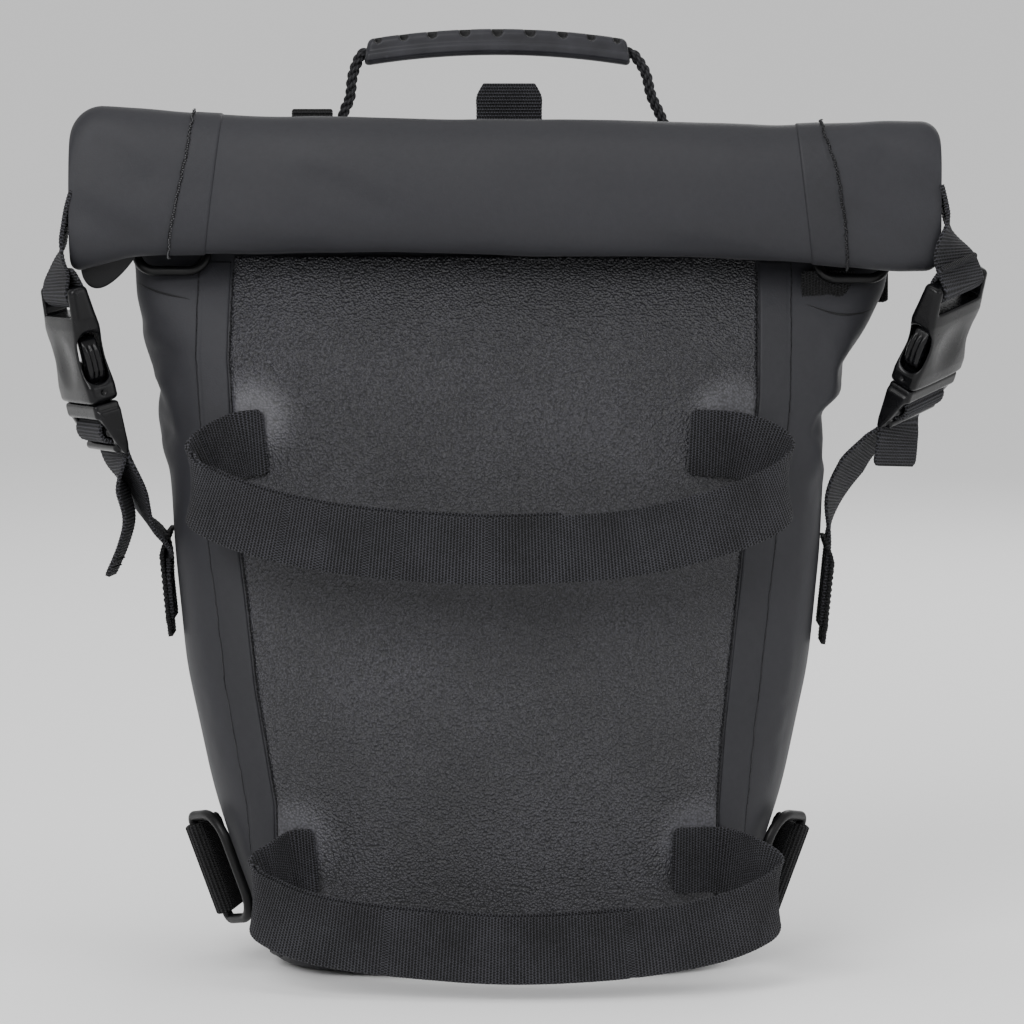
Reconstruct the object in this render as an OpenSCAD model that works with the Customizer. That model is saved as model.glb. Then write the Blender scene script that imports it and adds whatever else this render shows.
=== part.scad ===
// Roll-top tail bag with a grippy back panel, two webbing loops, side-release buckles and D-rings.
// Millimetres. The base rests on Z = 0, +X is the wearer's right of the panel view, and the panel faces -Y.

/* [Body] */
// Width of the base
base_w = 172; // [168:1:176]
// Width at mid height
mid_w = 247; // [244:1:250]
// Width where the neck enters the roll
neck_w = 282; // [280:1:284]
// Depth of the near half at its fullest
near_full = 63; // [61:1:64]
// Depth of the far half at its fullest
far_full = 61; // [58:1:64]
// Thickness of the laminated fabric
wall = 1.6; // [1.4:0.1:1.8]

/* [Grip panel] */
// Width of the panel under the roll
panel_top_w = 199; // [194:1:202]
// Width of the panel near the base
panel_low_w = 165; // [160:1:168]
// Thickness of the moulded panel
panel_t = 1.2; // [1:0.1:1.4]

/* [Roll] */
// Height of the rolled closure
roll_h = 55; // [53:1:56]
// Thickness of the rolled closure
roll_t = 28; // [26:1:28]
// Length of the rolled closure
roll_l = 326; // [322:1:328]

/* [Webbing] */
// Width of the webbing
webbing_w = 25; // [24:0.5:26]
// Thickness of one layer of webbing
webbing_t = 1.6; // [1.4:0.1:1.8]

/* [Buckles] */
// Width of a buckle
buckle_w = 34; // [33:0.5:35]
// Thickness of a buckle
buckle_t = 11; // [10.5:0.5:12]

/* [Handle] */
// Length of the moulded grip
grip_l = 100; // [94:1:104]
// Thickness of the rope
rope_d = 4.4; // [4:0.2:4.6]

/* [Rings] */
// Wire thickness of the D-rings
ring_wire = 3.8; // [3.4:0.2:4]

/* [Hidden] */

FABRIC = "#3f3f44";
PANEL = "#4a494d";
WEBBING = "#232427";
PLASTIC = "#2f2f33";
TAPE = "#37373b";

base_t = 1.5;
shell_top = 262;
neck_top = 318;
neck_half = neck_w / 2;
flare = (mid_w - base_w) / 2;
gap = 0.5;

// Half width, near depth and far depth of the body against height
WIDTHS = [[0, base_w / 2], [30, base_w / 2 + 0.3 * flare], [70, base_w / 2 + 0.63 * flare],
    [115, base_w / 2 + 0.88 * flare], [160, mid_w / 2], [200, mid_w / 2 + 1.5], [236, neck_half - 10],
    [255, neck_half - 4], [268, neck_half], [318, neck_half + 13]];
NEARS = [[0, near_full - 7], [14, near_full - 3], [40, near_full], [70, near_full - 1],
    [160, near_full - 10], [200, near_full - 13], [236, near_full - 18], [255, 39], [262, 34],
    [270, 28.5], [278, 24.5], [286, 22.5], [318, 22]];
FARS = [[0, far_full - 6], [40, far_full], [100, far_full - 1], [160, far_full - 11], [200, far_full - 22],
    [236, far_full - 39], [255, 10], [268, 1], [290, -8], [318, -14]];
CORNERS = [[0, 3.4], [60, 3.8], [150, 4.4], [318, 4.4]];
FAR_CORNERS = [[0, 3.2], [120, 2.8], [318, 2.6]];

function soft(z, rows) = (lookup(z - 5, rows) + 2 * lookup(z, rows) + lookup(z + 5, rows)) / 4;
function half_w(z) = soft(z, WIDTHS);
function mid_y(z) = (soft(z, FARS) - soft(z, NEARS)) / 2;
function half_d(z) = (soft(z, FARS) + soft(z, NEARS)) / 2;
function power(v, p) = sign(v) * pow(abs(v), p);
function unit(v) = v / norm(v);

// A point on the body's section at height z, off outside the skin, at an angle round the section
function skin(angle, z, off) =
    let (p = 2 / lookup(z, sin(angle) < 0 ? CORNERS : FAR_CORNERS))
    [(half_w(z) + off) * power(cos(angle), p), mid_y(z) + (half_d(z) + off) * power(sin(angle), p), z];

// How full the section is at a fraction of its half width or half depth
function full(part, p) = pow(1 - pow(min(abs(part), 1), p), 1 / p);
function near_face(x, z, off) =
    [x, mid_y(z) - (half_d(z) + off) * full(x / (half_w(z) + off), lookup(z, CORNERS)), z];
function far_face(x, z, off) =
    [x, mid_y(z) + (half_d(z) + off) * full(x / (half_w(z) + off), lookup(z, FAR_CORNERS)), z];
function side_face(side, y, z, off) =
    [side * (half_w(z) + off) * full((y - mid_y(z)) / (half_d(z) + off), lookup(z, CORNERS)), y, z];

// Points of a smooth curve through a list of points
function between(p, i, t) =
    let (a = p[max(i - 1, 0)], b = p[i], c = p[min(i + 1, len(p) - 1)], d = p[min(i + 2, len(p) - 1)])
    0.5 * (2 * b + (c - a) * t + (2 * a - 5 * b + 4 * c - d) * t * t + (3 * b - a - 3 * c + d) * t * t * t);
function smooth(p, steps) = concat([for (i = [0:len(p) - 2]) for (s = [0:steps - 1]) between(p, i, s / steps)],
    [p[len(p) - 1]]);
function steps(a, b, n) = [for (i = [0:n]) a + (b - a) * i / n];

// Two triangles for each cell of a grid whose corners are numbered by rows
function cells(rows, cols, first) = [for (i = [0:rows - 2]) for (j = [0:cols - 2])
    let (a = first + i * cols + j, b = a + cols) each [[a, b, b + 1], [a, b + 1, a + 1]]];
function flipped(faces) = [for (f = faces) [f[2], f[1], f[0]]];
function strip(a, b) = [for (i = [0:len(a) - 2]) each [[a[i], b[i], b[i + 1]], [a[i], b[i + 1], a[i + 1]]]];
function flat(grid) = [for (row = grid) each row];

// A closed sheet between two grids of points
module sheet(front, back) {
    rows = len(front);
    cols = len(front[0]);
    n = rows * cols;
    outward = cross(front[1][0] - front[0][0], front[0][1] - front[0][0]) * (front[0][0] - back[0][0]) > 0;
    low = [for (j = [0:cols - 1]) j];
    high = [for (j = [0:cols - 1]) (rows - 1) * cols + j];
    left = [for (i = [0:rows - 1]) i * cols];
    right = [for (i = [0:rows - 1]) i * cols + cols - 1];
    function behind(list) = [for (k = list) k + n];
    faces = concat(flipped(cells(rows, cols, 0)), cells(rows, cols, n), strip(low, behind(low)),
        strip(behind(high), high), strip(behind(left), left), strip(right, behind(right)));
    polyhedron(concat(flat(front), flat(back)), outward ? faces : flipped(faces));
}

// Flat webbing along a path, with its width direction at each point
module ribbon(path, across, width, thick) {
    last = len(path) - 1;
    along = [for (i = [0:last]) unit(path[min(i + 1, last)] - path[max(i - 1, 0)])];
    wide = [for (i = [0:last]) unit(across[i] - (across[i] * along[i]) * along[i]) * width / 2];
    deep = [for (i = [0:last]) unit(cross(along[i], wide[i])) * thick / 2];
    sheet([for (i = [0:last]) [path[i] - wide[i] + deep[i], path[i] + wide[i] + deep[i]]],
        [for (i = [0:last]) [path[i] - wide[i] - deep[i], path[i] + wide[i] - deep[i]]]);
}
function all(v, path) = [for (p = path) v];
// Width directions that turn from a to b between two rows of a path
function turned(a, b, path, first, last) = [for (i = [0:len(path) - 1])
    a + (b - a) * min(max((i - first) / (last - first), 0), 1)];

// A round rope along a path
module rope(path, radius) {
    sides = 8;
    last = len(path) - 1;
    along = [for (i = [0:last]) unit(path[min(i + 1, last)] - path[max(i - 1, 0)])];
    points = [for (i = [0:last])
        let (u = unit(cross(along[i], [0, 1, 0])), v = cross(along[i], u))
        for (k = [0:sides - 1]) path[i] + radius * (cos(360 * k / sides) * u + sin(360 * k / sides) * v)];
    walls = [for (i = [0:last - 1]) for (k = [0:sides - 1])
        let (a = i * sides + k, b = i * sides + (k + 1) % sides)
        each [[a, b, b + sides], [a, b + sides, a + sides]]];
    caps = [[for (k = [0:sides - 1]) sides - 1 - k], [for (k = [0:sides - 1]) last * sides + k]];
    polyhedron(points, [for (f = concat(walls, caps)) [for (k = [len(f) - 1:-1:0]) f[k]]]);
}

// Stands its children in a frame whose Z runs up a buckle and whose Y is the normal of its face
module placed(at, face, up) {
    u = unit(up);
    n = unit(face - (face * u) * u);
    w = cross(n, u);
    multmatrix([[w[0], n[0], u[0], at[0]], [w[1], n[1], u[1], at[1]], [w[2], n[2], u[2], at[2]], [0, 0, 0, 1]])
        children();
}
function in_frame(at, face, up, p) =
    let (u = unit(up), n = unit(face - (face * u) * u)) at + p[0] * cross(n, u) + p[1] * n + p[2] * u;

// ---- Body ----

shell_cols = 44;
module tube(heights, outer, inner, floor_z) {
    n = shell_cols;
    rows = len(heights);
    closed = floor_z > 0;
    function loop(z, off) = [for (k = [0:n - 1]) skin(360 * k / n, z, off)];
    outs = [for (z = heights) each loop(z, outer)];
    ins = [for (i = [0:rows - 1]) each loop(heights[i] + (closed && i == 0 ? floor_z : 0), inner)];
    function wall_faces(first) = [for (i = [0:rows - 2]) for (k = [0:n - 1])
        let (a = first + i * n + k, b = first + i * n + (k + 1) % n)
        each [[a, a + n, b + n], [a, b + n, b]]];
    m = rows * n;
    top = (rows - 1) * n;
    rim = [for (k = [0:n - 1]) each [[top + k, m + top + k, m + top + (k + 1) % n],
        [top + k, m + top + (k + 1) % n, top + (k + 1) % n]]];
    foot = [for (k = [0:n - 1]) each [[k, (k + 1) % n, m + (k + 1) % n], [k, m + (k + 1) % n, m + k]]];
    floors = [[for (k = [0:n - 1]) k], [for (k = [0:n - 1]) m + n - 1 - k]];
    polyhedron(concat(outs, ins), concat(wall_faces(0), flipped(wall_faces(m)), rim, closed ? floors : foot));
}

SHELL_ZS = [base_t + 0.05, 14, 30, 48, 68, 92, 118, 146, 174, 200, 222, 240, 252, shell_top];
NECK_ZS = [shell_top, 268, 274, 281, 290, 304, neck_top];
module bag_shell() {
    color(FABRIC) tube(SHELL_ZS, 0, -wall, wall);
}
module neck_collar() {
    color(FABRIC) tube(NECK_ZS, 0, -wall, 0);
}

function outline(z, off) = [for (k = [0:shell_cols - 1])
    let (p = skin(360 * k / shell_cols, z, off)) [p[0], p[1]]];
module base_panel() {
    color(FABRIC) linear_extrude(base_t) polygon(outline(0, -0.4));
}
module base_board() {
    color("dimgray") translate([0, 0, base_t + wall + 0.3]) linear_extrude(2) polygon(outline(6, -14));
}

board_zs = [18, 40, 70, 110, 150, 190, 226];
function inner_sheet(off, share) =
    [for (z = board_zs) [for (s = [-1:0.25:1]) near_face(s * share * half_w(z), z, off)]];
module back_board() {
    color("dimgray") sheet(inner_sheet(-wall - 0.9, 0.62), inner_sheet(-wall - 2.4, 0.62));
}
module foam_pad() {
    color("gray") sheet(inner_sheet(-wall - 2.9, 0.6), inner_sheet(-wall - 6.9, 0.6));
}

// ---- Grip panel and seam tapes on its edges ----

PANEL_HALVES = [[0, panel_low_w / 2 - 1], [65, panel_low_w / 2], [150, panel_top_w / 2 - 6],
    [232, panel_top_w / 2], [265, panel_top_w / 2 - 1]];
panel_zs = concat([6], part_of(SHELL_ZS, 1, len(SHELL_ZS) - 2), [shell_top - 1]);
panel_columns = concat([-1, -0.97, -0.93, -0.87], [for (s = [-0.8:0.1:0.81]) s], [0.87, 0.93, 0.97, 1]);
function panel_grid(off) =
    [for (z = panel_zs) [for (s = panel_columns) near_face(s * lookup(z, PANEL_HALVES), z, off)]];
module grip_panel() {
    color(PANEL) sheet(panel_grid(gap + panel_t), panel_grid(gap));
}

tape_w = 11;
function tape_x(s, z) = let (x = lookup(z, PANEL_HALVES) + 1) x + s * min(tape_w, half_w(z) - 2.5 - x);
function tape_grid(side, off) = [for (z = panel_zs) [for (s = [0, 0.35, 0.7, 1])
    near_face(side * tape_x(s, z), z, off)]];
module body_seam_tape(side) {
    color(TAPE) sheet(tape_grid(side, gap + 0.5), tape_grid(side, gap));
}
module body_seam_tape_left() {
    body_seam_tape(-1);
}
module body_seam_tape_right() {
    body_seam_tape(1);
}

// ---- Webbing loops across the panel ----

// Plan of each loop as x and the distance in front of the panel
UPPER_PLAN = [[-87, 2.4], [-97, 4.2], [-107, 9.6], [-113, 18], [-109, 28], [-86, 38], [-45, 46], [0, 49],
    [45, 46], [80, 38], [102, 28], [108, 18], [103, 9.6], [90, 4.2], [72, 2.4]];
LOWER_PLAN = [[-68, 2.6], [-77, 4.4], [-84, 9.6], [-90, 18], [-86, 28], [-66, 38], [-30, 45], [8, 48],
    [46, 45], [80, 38], [99, 28], [104, 18], [99, 9.6], [86, 4.4], [66, 2.6]];
UPPER_Z = 204;
UPPER_DROP = 38;
LOWER_Z = 47;
LOWER_DROP = 28;
loop_steps = 3;
// Rows of the smoothed plan that belong to the sewn roots at either end
root_rows = 2 * loop_steps;
loop_layer = 1.3;

function loop_y(z) = mid_y(z) - half_d(z);
root_reach = 9;
function loop_path(plan, z, drop) = smooth([for (p = plan)
    let (y = p[1] < root_reach ? near_face(p[0], z, gap + panel_t)[1] : loop_y(z))
    [p[0], y - p[1], z - drop * p[1] / 48]], loop_steps);
// A path moved in plan towards the inside of its loop
function inset_path(path, inset) = [for (i = [0:len(path) - 1])
    let (a = path[min(i + 1, len(path) - 1)] - path[max(i - 1, 0)]) path[i] + inset * unit([-a[1], a[0], 0])];
function part_of(list, first, last) = [for (i = [first:last]) list[i]];
module loop_band(path, first, last) {
    part = part_of(path, first, last);
    ribbon(part, all([0, 0, 1], part), webbing_w, loop_layer);
}
module loop_roots(plan, z, drop) {
    path = loop_path(plan, z, drop);
    last = len(path) - 1;
    color(WEBBING) {
        loop_band(path, 0, root_rows - 1);
        loop_band(path, last - root_rows + 1, last);
    }
}
module loop_outer(plan, z, drop) {
    path = loop_path(plan, z, drop);
    color(WEBBING) loop_band(path, root_rows, len(path) - 1 - root_rows);
}
// The second layer, sewn inside the first from one end to past the middle
module loop_inner(plan, z, drop, end_row) {
    path = inset_path(loop_path(plan, z, drop), loop_layer + 0.7);
    color(WEBBING) loop_band(path, root_rows + 6, end_row);
}
module upper_loop_roots() {
    loop_roots(UPPER_PLAN, UPPER_Z, UPPER_DROP);
}
module upper_loop() {
    loop_outer(UPPER_PLAN, UPPER_Z, UPPER_DROP);
}
module upper_loop_lining() {
    loop_inner(UPPER_PLAN, UPPER_Z, UPPER_DROP, 22);
}
module lower_loop_roots() {
    loop_roots(LOWER_PLAN, LOWER_Z, LOWER_DROP);
}
module lower_loop() {
    loop_outer(LOWER_PLAN, LOWER_Z, LOWER_DROP);
}
module lower_loop_lining() {
    loop_inner(LOWER_PLAN, LOWER_Z, LOWER_DROP, 22);
}

// ---- Rolled closure ----

roll_y = -46;
roll_z = 269 + roll_h / 2;
roll_x = 3;
roll_tilt = 1;
roll_round = 11;
module stadium(w, h) {
    translate([0, h / 2 - w / 2]) circle(w / 2, $fn = 48);
    translate([0, w / 2 - h / 2]) circle(w / 2, $fn = 48);
    square([w, h - w], center = true);
}
module round_square(w, h, r) {
    square([w - 2 * r, h], center = true);
    square([w, h - 2 * r], center = true);
    for (x = [r - w / 2, w / 2 - r]) for (y = [r - h / 2, h / 2 - r]) translate([x, y]) circle(r, $fn = 48);
}
module on_roll() {
    translate([roll_x, roll_y, roll_z]) rotate([0, roll_tilt, 0]) children();
}
module along_x(length) {
    rotate([90, 0, 90]) linear_extrude(length, center = true) children();
}
module roll_top() {
    color(FABRIC) on_roll() difference() {
        intersection() {
            along_x(roll_l + 10) stadium(roll_t, roll_h);
            rotate([90, 0, 0]) linear_extrude(roll_t + 2, center = true)
                round_square(roll_l, roll_h, roll_round);
        }
        cube([roll_l - 24, 2.4, 28], center = true);
    }
}
module closure_stiffener() {
    color("dimgray") on_roll() cube([roll_l - 28, 1.6, 26], center = true);
}
module roll_seam_tape(x) {
    color(TAPE) on_roll() translate([x, 0, 0]) difference() {
        along_x(tape_w) stadium(roll_t + 1.2, roll_h + 1.2);
        along_x(tape_w + 2) stadium(roll_t + 0.4, roll_h + 0.4);
    }
}
module roll_seam_tape_left() {
    roll_seam_tape(-118);
}
module roll_seam_tape_right() {
    roll_seam_tape(115);
}

// ---- Side-release buckles ----

LEFT_MOUTH = [-153.3, -41.9, 217.2];
LEFT_UP = [-0.222, -0.094, 0.97];
LEFT_FACE = [-0.906, -0.423, 0];
RIGHT_MOUTH = [162.3, -28.6, 226];
RIGHT_UP = [0.234, -0.46, 0.855];
RIGHT_FACE = [0.766, -0.643, 0];

socket_l = 44;
plug_l = 20;
slot_w = webbing_w + 1.8;
module on_left() {
    placed(LEFT_MOUTH, LEFT_FACE, LEFT_UP) children();
}
module on_right() {
    placed(RIGHT_MOUTH, RIGHT_FACE, RIGHT_UP) children();
}
// A box over a span of the buckle's length, as wide and thick as given
module span(w, t, low, high) {
    translate([-w / 2, -t / 2, low]) cube([w, t, high - low]);
}
module socket_outline() {
    waist = 40;
    difference() {
        union() {
            translate([-buckle_w / 2, 5]) square([buckle_w, socket_l - 8]);
            translate([-buckle_w / 2 + 1.5, 0.3]) square([buckle_w - 3, socket_l - 0.3]);
            for (s = [-1, 1]) translate([s * (buckle_w / 2 - 3), socket_l - 3]) circle(3, $fn = 40);
        }
        for (s = [-1, 1]) translate([s * (buckle_w / 2 + waist - 3), 17]) circle(waist, $fn = 96);
    }
}
module socket_profile() {
    translate([-buckle_t / 2, 4]) square([buckle_t, socket_l - 12]);
    translate([-buckle_t / 2 + 0.8, 0.3]) square([buckle_t - 1.6, socket_l - 4]);
    translate([-buckle_t / 2 + 1.8, 4]) square([buckle_t - 3.6, socket_l - 4]);
}
module socket() {
    color(PLASTIC) difference() {
        intersection() {
            rotate([90, 0, 0]) linear_extrude(buckle_t + 2, center = true) socket_outline();
            rotate([90, 0, 90]) linear_extrude(buckle_w + 2, center = true) socket_profile();
        }
        // Cavity, side windows and the webbing slot in front of the fixed bar
        span(buckle_w - 5.4, buckle_t - 3.6, -1, 29);
        span(buckle_w + 2, buckle_t - 3.6, 8, 25);
        span(slot_w, buckle_t + 2, 33, 39.5);
        for (s = [-1, 1]) translate([0, s * buckle_t / 2, 0]) span(slot_w, buckle_t - 4, 39, socket_l + 1);
    }
}
module plug() {
    arm = 3.4;
    color(PLASTIC) {
        difference() {
            union() {
                span(buckle_w - 1, buckle_t - 0.6, -7, 0);
                span(buckle_w, buckle_t - 3, -plug_l + 1.5, -5);
                translate([0, 0, -plug_l + 2]) rotate([0, 90, 0])
                    cylinder(h = buckle_w, r = 2, center = true, $fn = 32);
            }
            for (z = [-10, -17]) span(slot_w, buckle_t + 2, z, z + 4);
        }
        span(9, 2.4, -0.5, 15);
        for (s = [-1, 1]) translate([s * (buckle_w / 2 - 5.6), 0, 0]) span(arm, 5, -0.5, 0);
    }
}
// A springy prong with its locking shoulder, standing on the plug's top edge
prong_x = 11.4;
module prong(side) {
    color(PLASTIC) rotate([90, 0, 0]) linear_extrude(5.6, center = true)
        polygon([for (p = [[-1.5, 0.5], [1.5, 0.5], [1.5, 8.8], [4, 9.6], [4.4, 14], [3.8, 20], [1.8, 24.4],
            [-0.4, 25.6], [-1.5, 24]]) [side * (prong_x + p[0]), p[1]]]);
}
module buckle_socket_left() {
    on_left() socket();
}
module buckle_socket_right() {
    on_right() socket();
}
module buckle_plug_left() {
    on_left() plug();
}
module buckle_plug_right() {
    on_right() plug();
}
module prong_left_near() {
    on_left() prong(-1);
}
module prong_left_far() {
    on_left() prong(1);
}
module prong_right_near() {
    on_right() prong(1);
}
module prong_right_far() {
    on_right() prong(-1);
}

// Webbing doubled round the socket's bar and sewn to the roll's end
module socket_webbing(mouth, face, up, end_top, end_low) {
    across = in_frame([0, 0, 0], face, up, [1, 0, 0]);
    function at(y, z) = in_frame(mouth, face, up, [0, y, z]);
    path = smooth([end_top, end_low, at(3.4, socket_l + 6), at(3.4, 42), at(3.2, 38), at(0, 36.3),
        at(-3.2, 38), at(-3.4, 41.5), at(-3.3, socket_l + 1)], 2);
    start = [0, across[1] > 0 ? 1 : -1, 0];
    color(WEBBING) ribbon(path, turned(start, across, path, 0, 4), webbing_w, webbing_t);
}
module socket_webbing_left() {
    socket_webbing(LEFT_MOUTH, LEFT_FACE, LEFT_UP, [-162.8, -45, 299], [-164.8, -45, 279]);
}
module socket_webbing_right() {
    socket_webbing(RIGHT_MOUTH, RIGHT_FACE, RIGHT_UP, [169.4, -46, 292], [172.8, -46.5, 281]);
}

// ---- Side straps, their sewn patches and the free tails ----

patch_y = -13;
patch_h = 41;
function patch_grid(side, low, off) = [for (z = steps(low, low + patch_h, 4)) [for (y = steps(-14, 14, 4))
    side_face(side, patch_y + y, z, off)]];
module side_patch(side, low) {
    color(WEBBING) sheet(patch_grid(side, low, gap + 1.4), patch_grid(side, low, gap));
}
module side_patch_left() {
    side_patch(-1, 127);
}
module side_patch_right() {
    side_patch(1, 124);
}
module side_strap(side, lows, bend, mouth, face, up, ends, across_low) {
    low = [for (z = lows) side_face(side, patch_y, z, gap + 3.6)];
    path = smooth(concat(low, bend, [for (p = ends) in_frame(mouth, face, up, p)]), 6);
    across = in_frame([0, 0, 0], face, up, [1, 0, 0]);
    last = len(path) - 1;
    color(WEBBING) ribbon(path, turned(across_low, across, path, 12, last - 9), webbing_w, webbing_t);
}
module side_strap_left() {
    side_strap(-1, [133, 146, 160], [[-135.5, -24, 180]], LEFT_MOUTH, LEFT_FACE, LEFT_UP,
        [[0, -1.2, -28], [0, -1, -24.6]], [0, 1, 0]);
}
module side_strap_right() {
    side_strap(1, [130, 143, 157], [[129.5, -12.5, 174], [141, -14, 196]], RIGHT_MOUTH, RIGHT_FACE, RIGHT_UP,
        [[0, -6.8, -25], [0, -5.6, -17]], [0, -1, 0]);
}
module strap_tail(mouth, face, up, ends, hang, across_end) {
    path = smooth(concat([for (p = ends) in_frame(mouth, face, up, p)], hang), 3);
    across = in_frame([0, 0, 0], face, up, [1, 0, 0]);
    color(WEBBING) ribbon(path, turned(across, across_end, path, 3, len(path) - 1), webbing_w, webbing_t);
}
module strap_tail_left() {
    strap_tail(LEFT_MOUTH, LEFT_FACE, LEFT_UP, [[0, 6.6, -14], [0, 6.8, -19], [0, 7.4, -26]],
        [[-146, -42, 178], [-145.6, -42, 168], [-149, -42, 153]], [0, 1, 0]);
}
module strap_tail_right() {
    strap_tail(RIGHT_MOUTH, RIGHT_FACE, RIGHT_UP, [[0, 6.6, -14], [0, 6.8, -19]],
        [[160, -21.5, 199], [157, -21, 190]], [-1, -0.9, 0]);
}

// ---- D-rings ----

// A ring with a straight bar on the X axis and a bow hanging towards -Z
bar_corner = 3;
module arc_of_wire(at, radius, first) {
    translate(at) rotate([0, 0, first]) rotate_extrude(angle = 90, $fn = 64) translate([radius, 0])
        circle(ring_wire / 2, $fn = 32);
}
module wire(at, direction, length) {
    translate(at) rotate(direction) cylinder(h = length, r = ring_wire / 2, center = true, $fn = 32);
}
module d_ring(width, height, corner) {
    w = (width - ring_wire) / 2;
    h = height - ring_wire;
    side = h - corner - bar_corner;
    color(PLASTIC) rotate([90, 0, 0]) {
        wire([0, 0, 0], [0, 90, 0], 2 * (w - bar_corner));
        wire([0, -h, 0], [0, 90, 0], 2 * (w - corner));
        for (s = [-1, 1]) {
            wire([s * w, -bar_corner - side / 2, 0], [90, 0, 0], side);
            arc_of_wire([s * (w - bar_corner), -bar_corner, 0], bar_corner, s > 0 ? 0 : 90);
            arc_of_wire([s * (w - corner), corner - h, 0], corner, s > 0 ? 270 : 180);
        }
    }
}
// Webbing folded round a ring's bar, with its two ends laid together behind
module ring_tab(length, width) {
    r = ring_wire / 2 + 0.3 + webbing_t / 2;
    path = concat([[0, r, length], [0, r, length * 0.5]], [for (a = [0:30:180]) [0, r * cos(a), -r * sin(a)]],
        [[0, -r, 3], [0, -r * 0.4, length * 0.5], [0, -r + 1.9, length]]);
    color(WEBBING) ribbon(path, all([1, 0, 0], path), width, webbing_t);
}

UPPER_RING_W = 30;
UPPER_RING_H = 20;
UPPER_LEFT = [-123, -27.6, 280.4];
UPPER_RIGHT = [134, -27.6, 277.5];
upper_ring_lean = -25;
module on_upper(at) {
    translate(at) rotate([upper_ring_lean, 0, 0]) children();
}
module d_ring_upper_left() {
    on_upper(UPPER_LEFT) d_ring(UPPER_RING_W, UPPER_RING_H, 7);
}
module d_ring_upper_right() {
    on_upper(UPPER_RIGHT) d_ring(UPPER_RING_W, UPPER_RING_H, 7);
}
module ring_tab_upper_left() {
    translate(UPPER_LEFT) ring_tab(20, UPPER_RING_W - 9);
}
module ring_tab_upper_right() {
    translate(UPPER_RIGHT) ring_tab(20, UPPER_RING_W - 9);
}

LOWER_RING_W = 46;
LOWER_RING_H = 28;
LOWER_AT = [110, -20, 36.5];
lower_slope = 20;
lower_turn = 28;
// The lower rings hang by an upright bar on the side wall, with the bow round the near corner
module on_lower(side) {
    mirror([side < 0 ? 1 : 0, 0, 0]) translate(LOWER_AT) rotate([0, lower_slope, 0])
        rotate([0, 0, -lower_turn]) rotate([0, 90, 90]) children();
}
module d_ring_lower_left() {
    on_lower(-1) d_ring(LOWER_RING_W, LOWER_RING_H, 11);
}
module d_ring_lower_right() {
    on_lower(1) d_ring(LOWER_RING_W, LOWER_RING_H, 11);
}
// The tab turns from the ring's bar back to the side wall
module ring_tab_lower(side) {
    on_lower(side) rotate([-44, 0, 0]) ring_tab(19, LOWER_RING_W - 10);
}
module ring_tab_lower_left() {
    ring_tab_lower(-1);
}
module ring_tab_lower_right() {
    ring_tab_lower(1);
}

// ---- Carry handle and the rear tabs ----

grip_rise = 4;
grip_radius = pow(grip_l / 2, 2) / (2 * grip_rise);
grip_h = 10;
grip_deep = 14;
handle_y = -8;
handle_z = 314;
grip_top = 357;
bore_r = rope_d / 2 + 0.5;
module on_grip() {
    translate([0, handle_y, grip_top - grip_h / 2 - grip_radius]) rotate([90, 0, 0]) children();
}
module handle_grip() {
    turn = 2 * asin(grip_l / 2 / grip_radius);
    color(PLASTIC) on_grip() difference() {
        rotate([0, 0, 90 - turn / 2]) rotate_extrude(angle = turn, $fn = 200) translate([grip_radius, 0])
            difference() {
                union() {
                    round_square(grip_h, grip_deep - 3, 3);
                    translate([-1.5, 0]) round_square(grip_h - 4, grip_deep, 2.4);
                }
                circle(bore_r, $fn = 40);
            }
        for (k = [-4:4]) rotate([0, 0, k * turn / 9.4])
            translate([0, grip_radius + grip_h / 2 + 0.3, -grip_deep])
                cylinder(h = 2 * grip_deep, r = 1.9, $fn = 32);
    }
}
function in_grip(x) = [x, handle_y, grip_top - grip_h / 2 - grip_radius + sqrt(pow(grip_radius, 2) - x * x)];
function rope_leg(points) = [for (p = points) [p[0], handle_y, p[1]]];
module handle_rope() {
    half = grip_l / 2;
    left = [[-75, handle_z], [-66, handle_z], [-60.8, handle_z + 0.2], [-59, 318.4], [-58.4, 325],
        [-56.6, 332], [-55, 339], [-53.4, 346]];
    right = [[53.6, 346], [56, 340], [59, 332], [61.8, 325], [64.2, 319], [67.2, handle_z + 0.8],
        [72, handle_z], [82, handle_z]];
    path = concat(rope_leg(left), [for (x = [-half:10:half]) in_grip(x)], rope_leg(right));
    color("#26272a") rope(path, rope_d / 2);
}
// Webbing that rises behind the neck and wraps the rope's end
anchor_w = 14;
anchor_r = rope_d / 2 + 0.5 + webbing_t / 2;
module handle_anchor(x) {
    path = concat([for (z = [284, 292, 300]) far_face(x, z, gap + 1.1)],
        [for (a = [-15:30:240]) [x, handle_y + anchor_r * cos(a), handle_z + anchor_r * sin(a)]]);
    color(WEBBING) ribbon(path, all([1, 0, 0], path), anchor_w, webbing_t);
}
module handle_anchor_left() {
    handle_anchor(-69);
}
module handle_anchor_right() {
    handle_anchor(76);
}
// A doubled loop of webbing that stands up behind the roll
module rear_tab() {
    tab_x = 4.5;
    low = [for (z = [288, 298, 308]) far_face(tab_x, z, gap + 1.1)];
    path = concat(low, [[tab_x, -11.4, 318], [tab_x, -11.6, 331], [tab_x, -10.2, 334.6], [tab_x, -8, 334.6],
        [tab_x, -6.8, 331], [tab_x, -7.4, 318], [tab_x, -6, 309]]);
    color(WEBBING) ribbon(path, all([1, 0, 0], path), webbing_w, webbing_t);
}

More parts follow.
